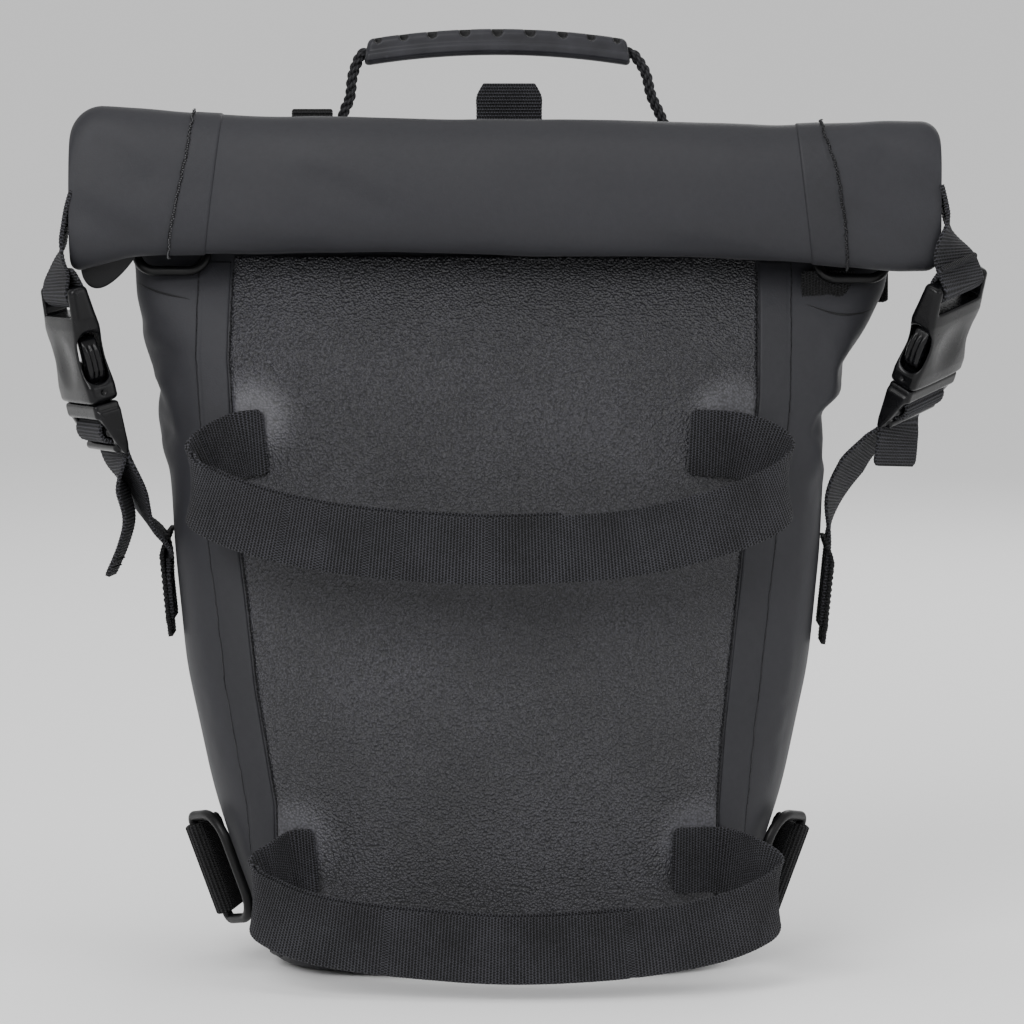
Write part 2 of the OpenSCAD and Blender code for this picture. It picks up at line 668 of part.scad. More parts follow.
bag_shell();
neck_collar();
base_panel();
base_board();
back_board();
foam_pad();
grip_panel();
body_seam_tape_left();
body_seam_tape_right();
upper_loop_roots();
lower_loop_roots();
side_patch_left();
side_patch_right();
side_strap_left();
side_strap_right();
ring_tab_upper_left();
ring_tab_upper_right();
ring_tab_lower_left();
ring_tab_lower_right();
handle_anchor_left();
handle_anchor_right();
rear_tab();
roll_top();
closure_stiffener();
roll_seam_tape_left();
roll_seam_tape_right();
socket_webbing_left();
socket_webbing_right();
buckle_socket_left();
buckle_socket_right();
buckle_plug_left();
buckle_plug_right();
strap_tail_left();
strap_tail_right();
prong_left_near();
prong_left_far();
prong_right_near();
prong_right_far();
handle_grip();
handle_rope();
d_ring_upper_left();
d_ring_upper_right();
d_ring_lower_left();
d_ring_lower_right();
upper_loop();
upper_loop_lining();
lower_loop();
lower_loop_lining();
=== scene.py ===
"""Looks of a roll-top tail bag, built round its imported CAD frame.

Lengths are in millimetres until a mesh is made.
"""
import math

import bmesh
import bpy
import numpy as np
from mathutils import Matrix, Vector, noise
from mathutils.bvhtree import BVHTree


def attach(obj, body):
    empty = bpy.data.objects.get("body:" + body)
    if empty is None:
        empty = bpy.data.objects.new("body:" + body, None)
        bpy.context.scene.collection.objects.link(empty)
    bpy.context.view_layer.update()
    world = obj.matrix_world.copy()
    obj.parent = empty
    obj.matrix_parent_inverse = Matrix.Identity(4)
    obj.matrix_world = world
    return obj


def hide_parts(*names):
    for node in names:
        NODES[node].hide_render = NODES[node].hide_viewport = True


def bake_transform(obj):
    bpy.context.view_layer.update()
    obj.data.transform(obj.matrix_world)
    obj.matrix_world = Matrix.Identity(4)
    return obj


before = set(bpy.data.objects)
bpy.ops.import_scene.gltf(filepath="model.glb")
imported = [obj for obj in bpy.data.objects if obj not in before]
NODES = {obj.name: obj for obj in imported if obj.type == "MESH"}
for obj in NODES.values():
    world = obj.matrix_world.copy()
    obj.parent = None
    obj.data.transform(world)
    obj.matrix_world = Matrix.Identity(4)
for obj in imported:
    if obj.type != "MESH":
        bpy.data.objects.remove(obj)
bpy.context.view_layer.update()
MM = 0.001


# ---- Meshes ----

def make_piece(name, points, faces, material, weave=None, smooth=True):
    """A mesh object from points in millimetres; weave holds each point's place along and across its strap."""
    mesh = bpy.data.meshes.new(name)
    mesh.from_pydata((np.asarray(points, float) * MM).tolist(), [], [list(map(int, f)) for f in faces])
    shape = bmesh.new()
    shape.from_mesh(mesh)
    bmesh.ops.recalc_face_normals(shape, faces=shape.faces)
    shape.to_mesh(mesh)
    shape.free()
    mesh.polygons.foreach_set("use_smooth", [smooth] * len(mesh.polygons))
    if weave is not None:
        layer = mesh.attributes.new("weave", "FLOAT_VECTOR", "POINT")
        layer.data.foreach_set("vector", np.asarray(weave, np.float32).ravel())
    mesh.materials.append(material)
    piece = bpy.data.objects.new(name, mesh)
    bpy.context.scene.collection.objects.link(piece)
    return piece


def round_off(piece):
    rounder = piece.modifiers.new("rounder", "SUBSURF")
    rounder.levels = rounder.render_levels = 1


def grid_faces(rows, columns, wrap=False):
    """Four-sided faces of a grid of points that is stored row by row."""
    i = np.arange(rows - 1)[:, None] * columns
    j = np.arange(columns if wrap else columns - 1)[None, :]
    after = (j + 1) % columns
    return np.stack([i + j, i + after, i + columns + after, i + columns + j], -1).reshape(-1, 4)


def slab(front, back):
    """Points and faces of a closed sheet between two grids of points."""
    rows, columns = front.shape[:2]
    count = rows * columns
    number = np.arange(count).reshape(rows, columns)
    rim = np.concatenate([number[0], number[1:, -1], number[-1, -2::-1], number[-2:0:-1, 0]])
    after = np.roll(rim, -1)
    sides = np.stack([rim, after, after + count, rim + count], -1)
    faces = np.concatenate([grid_faces(rows, columns), grid_faces(rows, columns) + count, sides])
    return np.concatenate([front.reshape(-1, 3), back.reshape(-1, 3)]), faces


def tube(rings):
    """Points and faces of a closed tube through rings of points, with flat ends."""
    rows, columns = rings.shape[:2]
    faces = [list(f) for f in grid_faces(rows, columns, wrap=True)]
    faces.append(list(range(columns)))
    faces.append(list(range((rows - 1) * columns, rows * columns)))
    return rings.reshape(-1, 3), faces


def joined(parts):
    """Several sets of points and faces as one."""
    points, faces, first = [], [], 0
    for part_points, part_faces in parts:
        points.append(np.asarray(part_points, float).reshape(-1, 3))
        faces.extend([[int(k) + first for k in f] for f in part_faces])
        first += len(points[-1])
    return np.concatenate(points), faces


def unit(v):
    v = np.asarray(v, float)
    return v / np.maximum(np.linalg.norm(v, axis=-1, keepdims=True), 1e-9)


def curve(points, spacing):
    """Evenly spaced points on a smooth curve through some points, which may carry more numbers than three."""
    p = np.asarray(points, float)
    padded = np.concatenate([[2 * p[0] - p[1]], p, [2 * p[-1] - p[-2]]])
    t = np.linspace(0, 1, 24, endpoint=False)[:, None]
    a, b, c, d = padded[:-3], padded[1:-2], padded[2:-1], padded[3:]
    dense = np.concatenate([
        0.5 * (2 * b[i] + (c[i] - a[i]) * t + (2 * a[i] - 5 * b[i] + 4 * c[i] - d[i]) * t ** 2
               + (3 * b[i] - a[i] - 3 * c[i] + d[i]) * t ** 3) for i in range(len(b))] + [p[-1:]])
    run = run_along(dense)
    wanted = np.linspace(0, run[-1], max(int(round(run[-1] / spacing)), 2) + 1)
    return np.stack([np.interp(wanted, run, dense[:, k]) for k in range(p.shape[1])], -1)


def run_along(path):
    """Distance along a path at each of its points."""
    return np.concatenate([[0], np.cumsum(np.linalg.norm(np.diff(path[:, :3], axis=0), axis=1))])


def ripple(points, size, amount, seed):
    """Smooth unevenness of a soft surface, one number for each point."""
    shift = Vector((seed * 7.3, seed * 3.1, seed * 5.7))
    return amount * np.array([noise.noise(Vector(p) / size + shift) for p in points])


def soft_step(value, low, high):
    t = np.clip((np.asarray(value, float) - low) / (high - low), 0, 1)
    return t * t * (3 - 2 * t)


def both(round_by, *fields):
    """Where all the fields are inside, with the edges between them rounded."""
    result = fields[0]
    for field in fields[1:]:
        share = np.clip(0.5 - 0.5 * (field - result) / round_by, 0, 1)
        result = field + (result - field) * share + round_by * share * (1 - share)
    return result


def either(round_by, *fields):
    """Where any of the fields is inside, with the joins between them filleted."""
    return -both(round_by, *[-field for field in fields])


def moulded(field, low, high, step=0.4):
    """Points and faces of the surface where a distance field crosses zero, between two corners of a box."""
    axes = [np.arange(a - 1.5 * step, b + 2.5 * step, step) for a, b in zip(low, high)]
    value = field(*np.meshgrid(*axes, indexing="ij"))
    inside = value < 0
    cells = np.array(value.shape) - 1
    total, count = np.zeros((*cells, 3)), np.zeros(cells)

    def part(array, axis, start, others, starts):
        cut = [slice(None)] * 3
        cut[axis] = slice(start, start + cells[axis])
        for other, first in zip(others, starts):
            cut[other] = slice(first, first + cells[other])
        return array[tuple(cut)]

    for axis in range(3):
        others = [k for k in range(3) if k != axis]
        for starts in ((0, 0), (0, 1), (1, 0), (1, 1)):
            a, b = part(value, axis, 0, others, starts), part(value, axis, 1, others, starts)
            crossed = (a < 0) != (b < 0)
            total[..., axis] += np.where(crossed, a / np.where(crossed, a - b, 1), 0)
            for other, first in zip(others, starts):
                total[..., other] += crossed * first
            count += crossed
    used = count > 0
    number = np.cumsum(used.ravel()).reshape(cells) - 1
    corner = np.stack(np.nonzero(used), -1)
    points = np.array([a[0] for a in axes]) + step * (corner + total[used] / count[used][:, None])
    faces = []
    for axis in range(3):
        i, j = [k for k in range(3) if k != axis]
        first = np.take(inside, range(cells[axis]), axis)
        last = np.take(inside, range(1, cells[axis] + 1), axis)
        at = np.stack(np.nonzero(first != last), -1)
        at = at[(at[:, i] > 0) & (at[:, j] > 0) & (at[:, i] < cells[i]) & (at[:, j] < cells[j])]
        ring = []
        for back_i, back_j in ((0, 0), (1, 0), (1, 1), (0, 1)):
            cell = at.copy()
            cell[:, i] -= back_i
            cell[:, j] -= back_j
            ring.append(number[tuple(cell.T)])
        faces.append(np.stack(ring, -1))
    return points, np.concatenate(faces)


def hand_over(piece, slot, body, *nodes):
    """Hides the nodes a piece stands for, if any are given, and sets the body it rides on, if one is given.
    Its slot is not used.
    """
    if nodes:
        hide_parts(*nodes)
    if body:
        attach(piece, body)


# ---- Materials ----

# From one rib of the webbing to the next
RIB_PITCH = 1.2


def node(tree, kind, inputs=None, **settings):
    made = tree.nodes.new(kind)
    for key, value in settings.items():
        setattr(made, key, value)
    for key, value in (inputs or {}).items():
        if isinstance(value, bpy.types.NodeSocket):
            tree.links.new(value, made.inputs[key])
        else:
            made.inputs[key].default_value = value
    return made


def sums(tree, operation, a, b=0.0):
    return node(tree, "ShaderNodeMath", {0: a, 1: b}, operation=operation).outputs[0]


def shade(tree, factor, dark, light, low=0.0, high=1.0):
    """A colour between dark and light, by a factor."""
    ramp = node(tree, "ShaderNodeValToRGB", {0: factor})
    ramp.color_ramp.elements[0].position = low
    ramp.color_ramp.elements[0].color = (*dark, 1)
    ramp.color_ramp.elements[1].position = high
    ramp.color_ramp.elements[1].color = (*light, 1)
    return ramp.outputs[0]


def new_look(name, **sockets):
    """A material with its node tree, its shader and the object's coordinates."""
    material = bpy.data.materials.new(name)
    material.use_nodes = True
    tree = material.node_tree
    shader = tree.nodes["Principled BSDF"]
    for key, value in sockets.items():
        shader.inputs[key.replace("_", " ")].default_value = value
    place = node(tree, "ShaderNodeTexCoord").outputs["Object"]
    return material, tree, shader, place


def cloud(tree, place, scale, detail=3.0, roughness=0.5):
    inputs = {"Vector": place, "Scale": scale, "Detail": detail, "Roughness": roughness}
    return node(tree, "ShaderNodeTexNoise", inputs).outputs[0]


def finish_look(tree, shader, colour, roughness, height, depth):
    """Joins a colour, a roughness and a bump height, depth millimetres high, to the shader."""
    bump = node(tree, "ShaderNodeBump", {"Height": height, "Strength": 1.0, "Distance": depth * MM})
    tree.links.new(colour, shader.inputs["Base Color"])
    tree.links.new(roughness, shader.inputs["Roughness"])
    tree.links.new(bump.outputs[0], shader.inputs["Normal"])


def added(tree, *terms):
    """The sum of some values, each times its weight."""
    parts = [value if weight == 1 else sums(tree, "MULTIPLY", value, weight) for value, weight in terms]
    total = parts[0]
    for part in parts[1:]:
        total = sums(tree, "ADD", total, part)
    return total


def spread(tree, factor, low, high):
    """A number between low and high, by a factor from 0 to 1."""
    return sums(tree, "ADD", sums(tree, "MULTIPLY", factor, high - low), low)


def woven(tree):
    """The distance along and across a strap or strand, and how far its ribs are pressed flat."""
    weave = node(tree, "ShaderNodeAttribute", attribute_name="weave").outputs["Vector"]
    return node(tree, "ShaderNodeSeparateXYZ", {0: weave}).outputs


def fabric_look(name, dark, light, grain=0.05):
    """Matt laminate: a very fine grain, faint cloudy rubbing and specks of dust."""
    sockets = {"Specular_IOR_Level": 0.3, "Sheen_Weight": 0.02, "Sheen_Roughness": 0.6}
    material, tree, shader, place = new_look(name, **sockets)
    rubbed = cloud(tree, place, 13.0, 4.0)
    fine = cloud(tree, place, 1500.0, 2.0)
    specks = cloud(tree, place, 420.0, 2.0, 0.7)
    colour = shade(tree, added(tree, (rubbed, 0.7), (specks, 0.3)), dark, light, 0.34, 0.66)
    height = added(tree, (fine, 1), (cloud(tree, place, 90.0), 2.5))
    finish_look(tree, shader, colour, spread(tree, rubbed, 0.50, 0.68), height, grain)
    return material


def panel_look(name, dark, light):
    """Pebbled rubber, smooth where the pressed bosses are, with a painted highlight on the bosses and painted
    shade between the pebbles.
    """
    material, tree, shader, place = new_look(name, Specular_IOR_Level=0.5)
    warp = node(tree, "ShaderNodeTexNoise", {"Vector": place, "Scale": 260.0, "Detail": 2.0}).outputs[1]
    bent = node(tree, "ShaderNodeVectorMath", {0: warp}, operation="SCALE")
    bent.inputs["Scale"].default_value = 0.0008
    moved = node(tree, "ShaderNodeVectorMath", {0: place, 1: bent.outputs[0]}, operation="ADD").outputs[0]
    pebbles = node(tree, "ShaderNodeTexVoronoi", {"Vector": moved, "Scale": 1150.0}, feature="SMOOTH_F1")
    pebbles.inputs["Smoothness"].default_value = 0.35
    fine = cloud(tree, place, 2100.0, 3.0, 0.6)
    smooth = node(tree, "ShaderNodeAttribute", attribute_name="smoothness_and_highlight").outputs["Fac"]
    rough = sums(tree, "SUBTRACT", 1.0, smooth)
    low = sums(tree, "SUBTRACT", 1.0, pebbles.outputs["Distance"])
    height = sums(tree, "MULTIPLY", added(tree, (low, 1), (fine, 0.35)), spread(tree, rough, 0.07, 1.0))
    # Paler on the pebbles' tops and darker between them: painted shade; paler on the smooth bosses: painted
    # highlight; the cloud is the rubber's own tone.
    tone = added(tree, (low, 0.6), (cloud(tree, place, 16.0), 0.4), (smooth, 0.16))
    colour = shade(tree, tone, dark, light, 0.42, 0.84)
    finish_look(tree, shader, colour, spread(tree, fine, 0.40, 0.62), height, 0.85)
    return material


def webbing_look(name, dark, light):
    """Ribbed nylon tape: ribs across, warp threads along, and a few raised fibres."""
    sockets = {"Specular_IOR_Level": 0.25, "Sheen_Weight": 0.03, "Sheen_Roughness": 0.5}
    material, tree, shader, place = new_look(name, **sockets)
    along, across, pressed = woven(tree)
    plain = sums(tree, "SUBTRACT", 1.0, pressed)
    rib = sums(tree, "COSINE", sums(tree, "MULTIPLY", along, 2 * math.pi / RIB_PITCH))
    rib = sums(tree, "MULTIPLY", rib, plain)
    row = sums(tree, "FLOOR", sums(tree, "MULTIPLY", along, 1 / RIB_PITCH))
    shifted = sums(tree, "MULTIPLY", row, math.pi)
    threads = sums(tree, "COSINE", sums(tree, "ADD", sums(tree, "MULTIPLY", across, 2 * math.pi), shifted))
    fibres = cloud(tree, place, 1700.0, 3.0, 0.7)
    height = added(tree, (threads, 0.8), (fibres, 1.2), (rib, 0.7))
    # The tone follows the ribs and threads, darker in the grooves between them: partly the weave's own
    # pattern, partly painted shade; the cloud and the fibres are the tape's own colour.
    tone = added(tree, (rib, 0.24), (threads, 0.24), (cloud(tree, place, 60.0), 0.4), (fibres, 0.8))
    colour = shade(tree, tone, dark, light, 0.48, 1.12)
    finish_look(tree, shader, colour, spread(tree, fibres, 0.62, 0.9), height, 0.3)
    return material


def plastic_look(name, dark, light, roughness):
    """Satin moulding with a fine spark finish, paler on its sharp edges as a painted highlight."""
    material, tree, shader, place = new_look(name, Specular_IOR_Level=0.2)
    cloudy = cloud(tree, place, 120.0, 4.0)
    fine = cloud(tree, place, 2600.0, 2.0)
    # Pointiness makes the colour paler on convex edges: a painted highlight on the edges.
    edges = node(tree, "ShaderNodeNewGeometry").outputs["Pointiness"]
    edge_highlight = sums(tree, "MULTIPLY", sums(tree, "SUBTRACT", edges, 0.5), 2.2)
    colour = shade(tree, added(tree, (cloudy, 0.6), (edge_highlight, 1)), dark, light, 0.15, 0.8)
    finish_look(tree, shader, colour, spread(tree, cloudy, roughness - 0.08, roughness + 0.12), fine, 0.03)
    return material


def rope_look(name, dark, light):
    """Laid cord whose yarns run a little across each strand."""
    material, tree, shader, place = new_look(name, Specular_IOR_Level=0.25)
    along, around, _ = woven(tree)
    yarns = sums(tree, "COSINE", added(tree, (along, 3.2), (around, 5.0)))
    fibres = cloud(tree, place, 2200.0, 3.0)
    height = added(tree, (yarns, 0.6), (fibres, 1))
    colour = shade(tree, added(tree, (yarns, 0.3), (fibres, 1)), dark, light, 0.2, 0.9)
    finish_look(tree, shader, colour, spread(tree, fibres, 0.6, 0.85), height, 0.14)
    return material


FABRIC = fabric_look("laminate", (0.0118, 0.0119, 0.0148), (0.0170, 0.0171, 0.0208))
TAPE = fabric_look("seam_tape", (0.0100, 0.0101, 0.0126), (0.0162, 0.0163, 0.0200), 0.08)
# A near-black fabric look: the neck seams, the dark sheet below the roll's left end, and painted shade in the
# grip's finger slots
DEEP_BLACK = fabric_look("deep_black", (0.002, 0.002, 0.0025), (0.004, 0.004, 0.005))
CRIMP = fabric_look("crimped_edge", (0.0005, 0.0005, 0.0006), (0.085, 0.085, 0.090), 0.3)
PANEL = panel_look("pebbled_panel", (0.0095, 0.0095, 0.0116), (0.047, 0.0462, 0.0555))
WEBBING = webbing_look("webbing", (0.0006, 0.0006, 0.0009), (0.052, 0.052, 0.062))
DARK_WEBBING = webbing_look("dark_webbing", (0.0004, 0.0004, 0.0005), (0.014, 0.014, 0.016))
THREAD = rope_look("thread", (0.0015, 0.0015, 0.002), (0.012, 0.012, 0.014))
ROPE = rope_look("rope", (0.003, 0.003, 0.004), (0.026, 0.026, 0.029))
PLASTIC = plastic_look("satin_plastic", (0.0015, 0.0015, 0.0018), (0.007, 0.007, 0.0084), 0.24)
RING = plastic_look("ring_plastic", (0.0015, 0.0015, 0.0015), (0.006, 0.006, 0.007), 0.38)
GRIP = plastic_look("grip_rubber", (0.012, 0.012, 0.0145), (0.038, 0.038, 0.045), 0.42)
BOARD = plastic_look("board", (0.10, 0.10, 0.10), (0.16, 0.16, 0.16), 0.6)
FOAM = fabric_look("foam", (0.22, 0.22, 0.22), (0.34, 0.34, 0.34), 0.3)


# ---- Shape of the body ----

BASE_W, MID_W, NECK_W = 172, 247, 282
NEAR_FULL, FAR_FULL = 63, 61
FLARE = (MID_W - BASE_W) / 2
WIDTHS = [(0, BASE_W / 2), (30, BASE_W / 2 + 0.3 * FLARE), (70, BASE_W / 2 + 0.63 * FLARE),
          (115, BASE_W / 2 + 0.88 * FLARE), (160, MID_W / 2), (200, MID_W / 2 + 1.5), (236, NECK_W / 2 - 10),
          (255, NECK_W / 2 - 4), (268, NECK_W / 2), (318, NECK_W / 2 + 13)]
NEARS = [(0, NEAR_FULL - 7), (14, NEAR_FULL - 3), (40, NEAR_FULL), (70, NEAR_FULL - 1),
         (160, NEAR_FULL - 10), (200, NEAR_FULL - 13), (236, NEAR_FULL - 18), (255, 39), (262, 34),
         (270, 28.5), (278, 24.5), (286, 22.5), (318, 22)]
FARS = [(0, FAR_FULL - 6), (40, FAR_FULL), (100, FAR_FULL - 1), (160, FAR_FULL - 11), (200, FAR_FULL - 22),
        (236, FAR_FULL - 39), (255, 10), (268, 1), (290, -8), (318, -14)]
NEAR_CORNERS = [(0, 3.4), (60, 3.8), (150, 4.4), (318, 4.4)]
FAR_CORNERS = [(0, 3.2), (120, 2.8), (318, 2.6)]
# How far the folded wings under the roll stand out past the even outline, at each height
RIGHT_WING = [(0, 0), (190, 0), (205, -2.6), (212, -3.2), (217.5, 2.2), (230, 3.5), (244, 6.5), (258, 9.5),
              (270, 8), (300, 3), (320, 0)]
LEFT_WING = [(0, 0), (205, 0), (225, 0), (236, -1.4), (240, 1.2), (256, 0), (268, -3), (300, 0), (320, 0)]
SHELL_TOP = 262


def table(rows, z):
    return np.interp(z, [r[0] for r in rows], [r[1] for r in rows])


def soft(rows, z):
    """A table's value, with its corners rounded over 16 mm."""
    return sum(table(rows, z + d) for d in (-8, -5, -2.5, 0, 2.5, 5, 8)) / 7


def half_w(z):
    return soft(WIDTHS, z)


def mid_y(z):
    return (soft(FARS, z) - soft(NEARS, z)) / 2


def half_d(z):
    return (soft(FARS, z) + soft(NEARS, z)) / 2


def full(part, p):
    return (1 - np.minimum(np.abs(part), 1) ** p) ** (1 / p)


def face_point(x, z, off, side, corners):
    x, z = np.broadcast_arrays(np.asarray(x, float), np.asarray(z, float))
    y = mid_y(z) + side * (half_d(z) + off) * full(x / (half_w(z) + off), table(corners, z))
    return np.stack([x, y, z], -1)


def near_face(x, z, off=0.0):
    return face_point(x, z, off, -1, NEAR_CORNERS)


def far_face(x, z, off=0.0):
    return face_point(x, z, off, 1, FAR_CORNERS)


def side_face(side, y, z, off=0.0):
    y, z = np.broadcast_arrays(np.asarray(y, float), np.asarray(z, float))
    x = side * (half_w(z) + off) * full((y - mid_y(z)) / (half_d(z) + off), table(NEAR_CORNERS, z))
    return np.stack([x, y, z], -1)


def section(z, wide, near, far):
    """Evenly spaced points of one outline as x and depth, from the middle of the near face round by +X."""
    angle = np.linspace(-math.pi / 2, 1.5 * math.pi, 1601)
    c, s = np.cos(angle), np.sin(angle)
    p = np.where(s < 0, 2 / table(NEAR_CORNERS, z), 2 / table(FAR_CORNERS, z))
    x = wide * np.sign(c) * np.abs(c) ** p
    middle, half = (far - near) / 2, (far + near) / 2
    y = middle + half * np.sign(s) * np.abs(s) ** p
    run = np.concatenate([[0], np.cumsum(np.hypot(np.diff(x), np.diff(y)))])
    wanted = np.arange(BODY_COLUMNS) / BODY_COLUMNS * run[-1]
    x, y = np.interp(wanted, run, x), np.interp(wanted, run, y)
    edge = (np.abs(x) / wide) ** 7
    return x + edge * np.where(x > 0, table(RIGHT_WING, z), -table(LEFT_WING, z)), y


# ---- Body and neck ----

BODY_COLUMNS = 168
BASE_ROUND = 7.0
BASE_LIFT = 0.3
ROW_STEP = 3.4
OUTLINE_TOP = 318
# Where the flattened neck bends forward into the roll: middle's y and z, half its thickness, and its lean
NECK_TOP = [(-16.8, 306, 5.0, 3), (-17.8, 310.5, 4.2, 14), (-20.2, 314.4, 3.2, 36), (-24.6, 317.0, 2.4, 62),
            (-30, 317.9, 1.9, 84), (-36, 317.0, 1.5, 102), (-42, 314.4, 1.2, 118)]
PANEL_LEFT = [(0, 81.5), (65, 82.7), (109, 90), (143, 93.7), (163, 96.4), (233, 100.5), (268, 99.4)]
PANEL_RIGHT = [(0, 81.5), (65, 82.5), (94, 84.6), (163, 91.9), (218, 97.5), (268, 97.9)]
TAPE_W = 12.5
# How many frames the cloth simulation runs, and how far it may move the laminate
CLOTH_FRAMES = 22
CLOTH_REACH = 4.0


def body_rows():
    """The outline of the bag at each row, from its base up to where the neck enters the roll."""
    turns = [k / 5 * math.pi / 2 for k in range(5)]
    levels = [(BASE_LIFT + BASE_ROUND * (1 - math.cos(t)), BASE_ROUND * (1 - math.sin(t))) for t in turns]
    levels += [(z, 0) for z in np.arange(BASE_LIFT + BASE_ROUND, 302, ROW_STEP)]
    rows = []
    for z, inward in levels:
        x, y = section(z, half_w(z) - inward, soft(NEARS, z) - inward, soft(FARS, z) - inward)
        rows.append(np.stack([x, y, np.full_like(x, z)], -1))
    tops = curve([(y, z, 0, t, a) for y, z, t, a in NECK_TOP], 3.0)
    for k, (y, z, _, thick, lean) in enumerate(tops):
        along = k / (len(tops) - 1)
        level = min(z, OUTLINE_TOP)
        x, d = section(level, half_w(level) + 3 * along, thick, thick)
        tilt = math.radians(lean)
        rows.append(np.stack([x + 3 * along, y + d * math.cos(tilt), z + d * math.sin(tilt)], -1))
    rows = np.array(rows)
    rows[..., 2] += (table(ROLL_TOPS, rows[..., 0]) - 323.4) * soft_step(rows[..., 2], 285, 312)
    return rows


def panel_edge(side, z):
    return side * table(PANEL_LEFT if side < 0 else PANEL_RIGHT, z)


def freedom(points):
    """How far each point of the body may sag or swell: held at the base, panel, side webbing and neck."""
    x, y, z = points[..., 0], points[..., 1], points[..., 2]
    held = np.where(x < 0, table(PANEL_LEFT, z), table(PANEL_RIGHT, z)) + TAPE_W
    on_panel = (1 - soft_step(np.abs(x), held, held + 14)) * (y < mid_y(z))
    under_webbing = (1 - soft_step(np.abs(y - PATCH_Y), 18, 36)) * (1 - soft_step(z, 170, 200))
    return (1 - on_panel) * (1 - under_webbing) * soft_step(z, 8, 40) * (1 - soft_step(z, 236, 258))


def settled(rows):
    """The body after a short cloth simulation: slack laminate, held at its seams, pushed out from inside."""
    count = int(np.searchsorted(rows[:, 0, 2], SHELL_TOP))
    part = rows[:count]
    free = freedom(part).ravel()
    trial = make_piece("trial", part.reshape(-1, 3), grid_faces(count, BODY_COLUMNS, wrap=True), FABRIC)
    pins = trial.vertex_groups.new(name="pins")
    for k, value in enumerate(free):
        pins.add([k], float(1 - value), "REPLACE")
    cloth = trial.modifiers.new("cloth", "CLOTH")
    cloth.settings.vertex_group_mass = "pins"
    cloth.settings.quality = 6
    cloth.settings.mass = 0.25
    cloth.settings.tension_stiffness = cloth.settings.compression_stiffness = 18
    cloth.settings.shear_stiffness = 8
    cloth.settings.bending_stiffness = 0.9
    cloth.settings.shrink_min = -0.028
    cloth.settings.use_pressure = True
    cloth.settings.uniform_pressure_force = 2.5
    cloth.settings.effector_weights.gravity = 0
    cloth.collision_settings.use_collision = False
    cloth.point_cache.frame_end = CLOTH_FRAMES
    for number in range(1, CLOTH_FRAMES + 1):
        bpy.context.scene.frame_set(number)
    shown = trial.evaluated_get(bpy.context.evaluated_depsgraph_get()).to_mesh()
    after = np.zeros(len(shown.vertices) * 3)
    shown.vertices.foreach_get("co", after)
    bpy.context.scene.frame_set(1)
    bpy.data.objects.remove(trial)
    move = after.reshape(-1, 3) / MM - part.reshape(-1, 3)
    length = np.linalg.norm(move, axis=1, keepdims=True)
    move *= np.minimum(1, CLOTH_REACH / np.maximum(length, 1e-6)) * free[:, None]
    result = rows.copy()
    result[:count] += move.reshape(part.shape)
    return result


def make_body():
    rows = body_rows()
    rows = settled(rows)
    out = unit(np.roll(rows, -1, axis=1) - np.roll(rows, 1, axis=1))
    out = np.stack([out[..., 1], -out[..., 0], np.zeros(out.shape[:2])], -1)
    free = freedom(rows)
    flat = rows.reshape(-1, 3)
    slack = (ripple(flat, 46, 1.6, 1) + ripple(flat, 19, 0.35, 2)).reshape(free.shape)
    between = soft_step(rows[..., 2], 5, 30) * (1 - soft_step(rows[..., 2], 258, 275))
    rows += out * (slack * (0.15 + 0.85 * free) * between)[..., None]
    body = make_piece("bag_fabric", *tube(rows), FABRIC)
    round_off(body)
    hand_over(body, "fabric", None, "bag_shell", "neck_collar", "base_panel")
    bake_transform(body)


# ---- Grip panel ----

PANEL_ROWS, PANEL_COLUMNS = 216, 168
BOSSES = [(-92, 211), (88, 211), (-77, 52), (76, 53)]
BOSS_R = 20.0


def make_panel():
    z = np.linspace(4.5, 271, PANEL_ROWS)[:, None]
    across = np.linspace(-1, 1, PANEL_COLUMNS)[None, :]
    left, right = panel_edge(-1, z), panel_edge(1, z)
    base = near_face(left + (right - left) * (across + 1) / 2, z)
    domes = np.zeros(base.shape[:2])
    for x, height in BOSSES:
        away = np.hypot(base[..., 0] - x, base[..., 2] - height)
        domes = np.maximum(domes, 1 - soft_step(away, BOSS_R * 0.25, BOSS_R))
    from_edge = np.minimum(base[..., 0] - left, right - base[..., 0])
    edge = np.minimum(from_edge, base[..., 2] - 3)
    crown = 0.7 * soft_step(edge, -0.2, 0.9) + 1.4 * soft_step(edge, 2, 24)
    wave = ripple(base.reshape(-1, 3), 38, 0.5, 5).reshape(domes.shape)
    lift = 0.3 + crown + 1.2 * domes + wave * soft_step(edge, 4, 25)
    front = base.copy()
    front[..., 1] -= lift
    panel = make_piece("panel_skin", *slab(front, base + [0, 0.6, 0]), PANEL)
    # The bosses' share smooths their grain and also paints a highlight on them.
    smoothness_and_highlight = np.concatenate([domes.ravel(), domes.ravel()]) ** 0.8
    layer = panel.data.attributes.new("smoothness_and_highlight", "FLOAT", "POINT")
    layer.data.foreach_set("value", smoothness_and_highlight.astype(np.float32))
    hand_over(panel, "panel", "bag", "grip_panel")


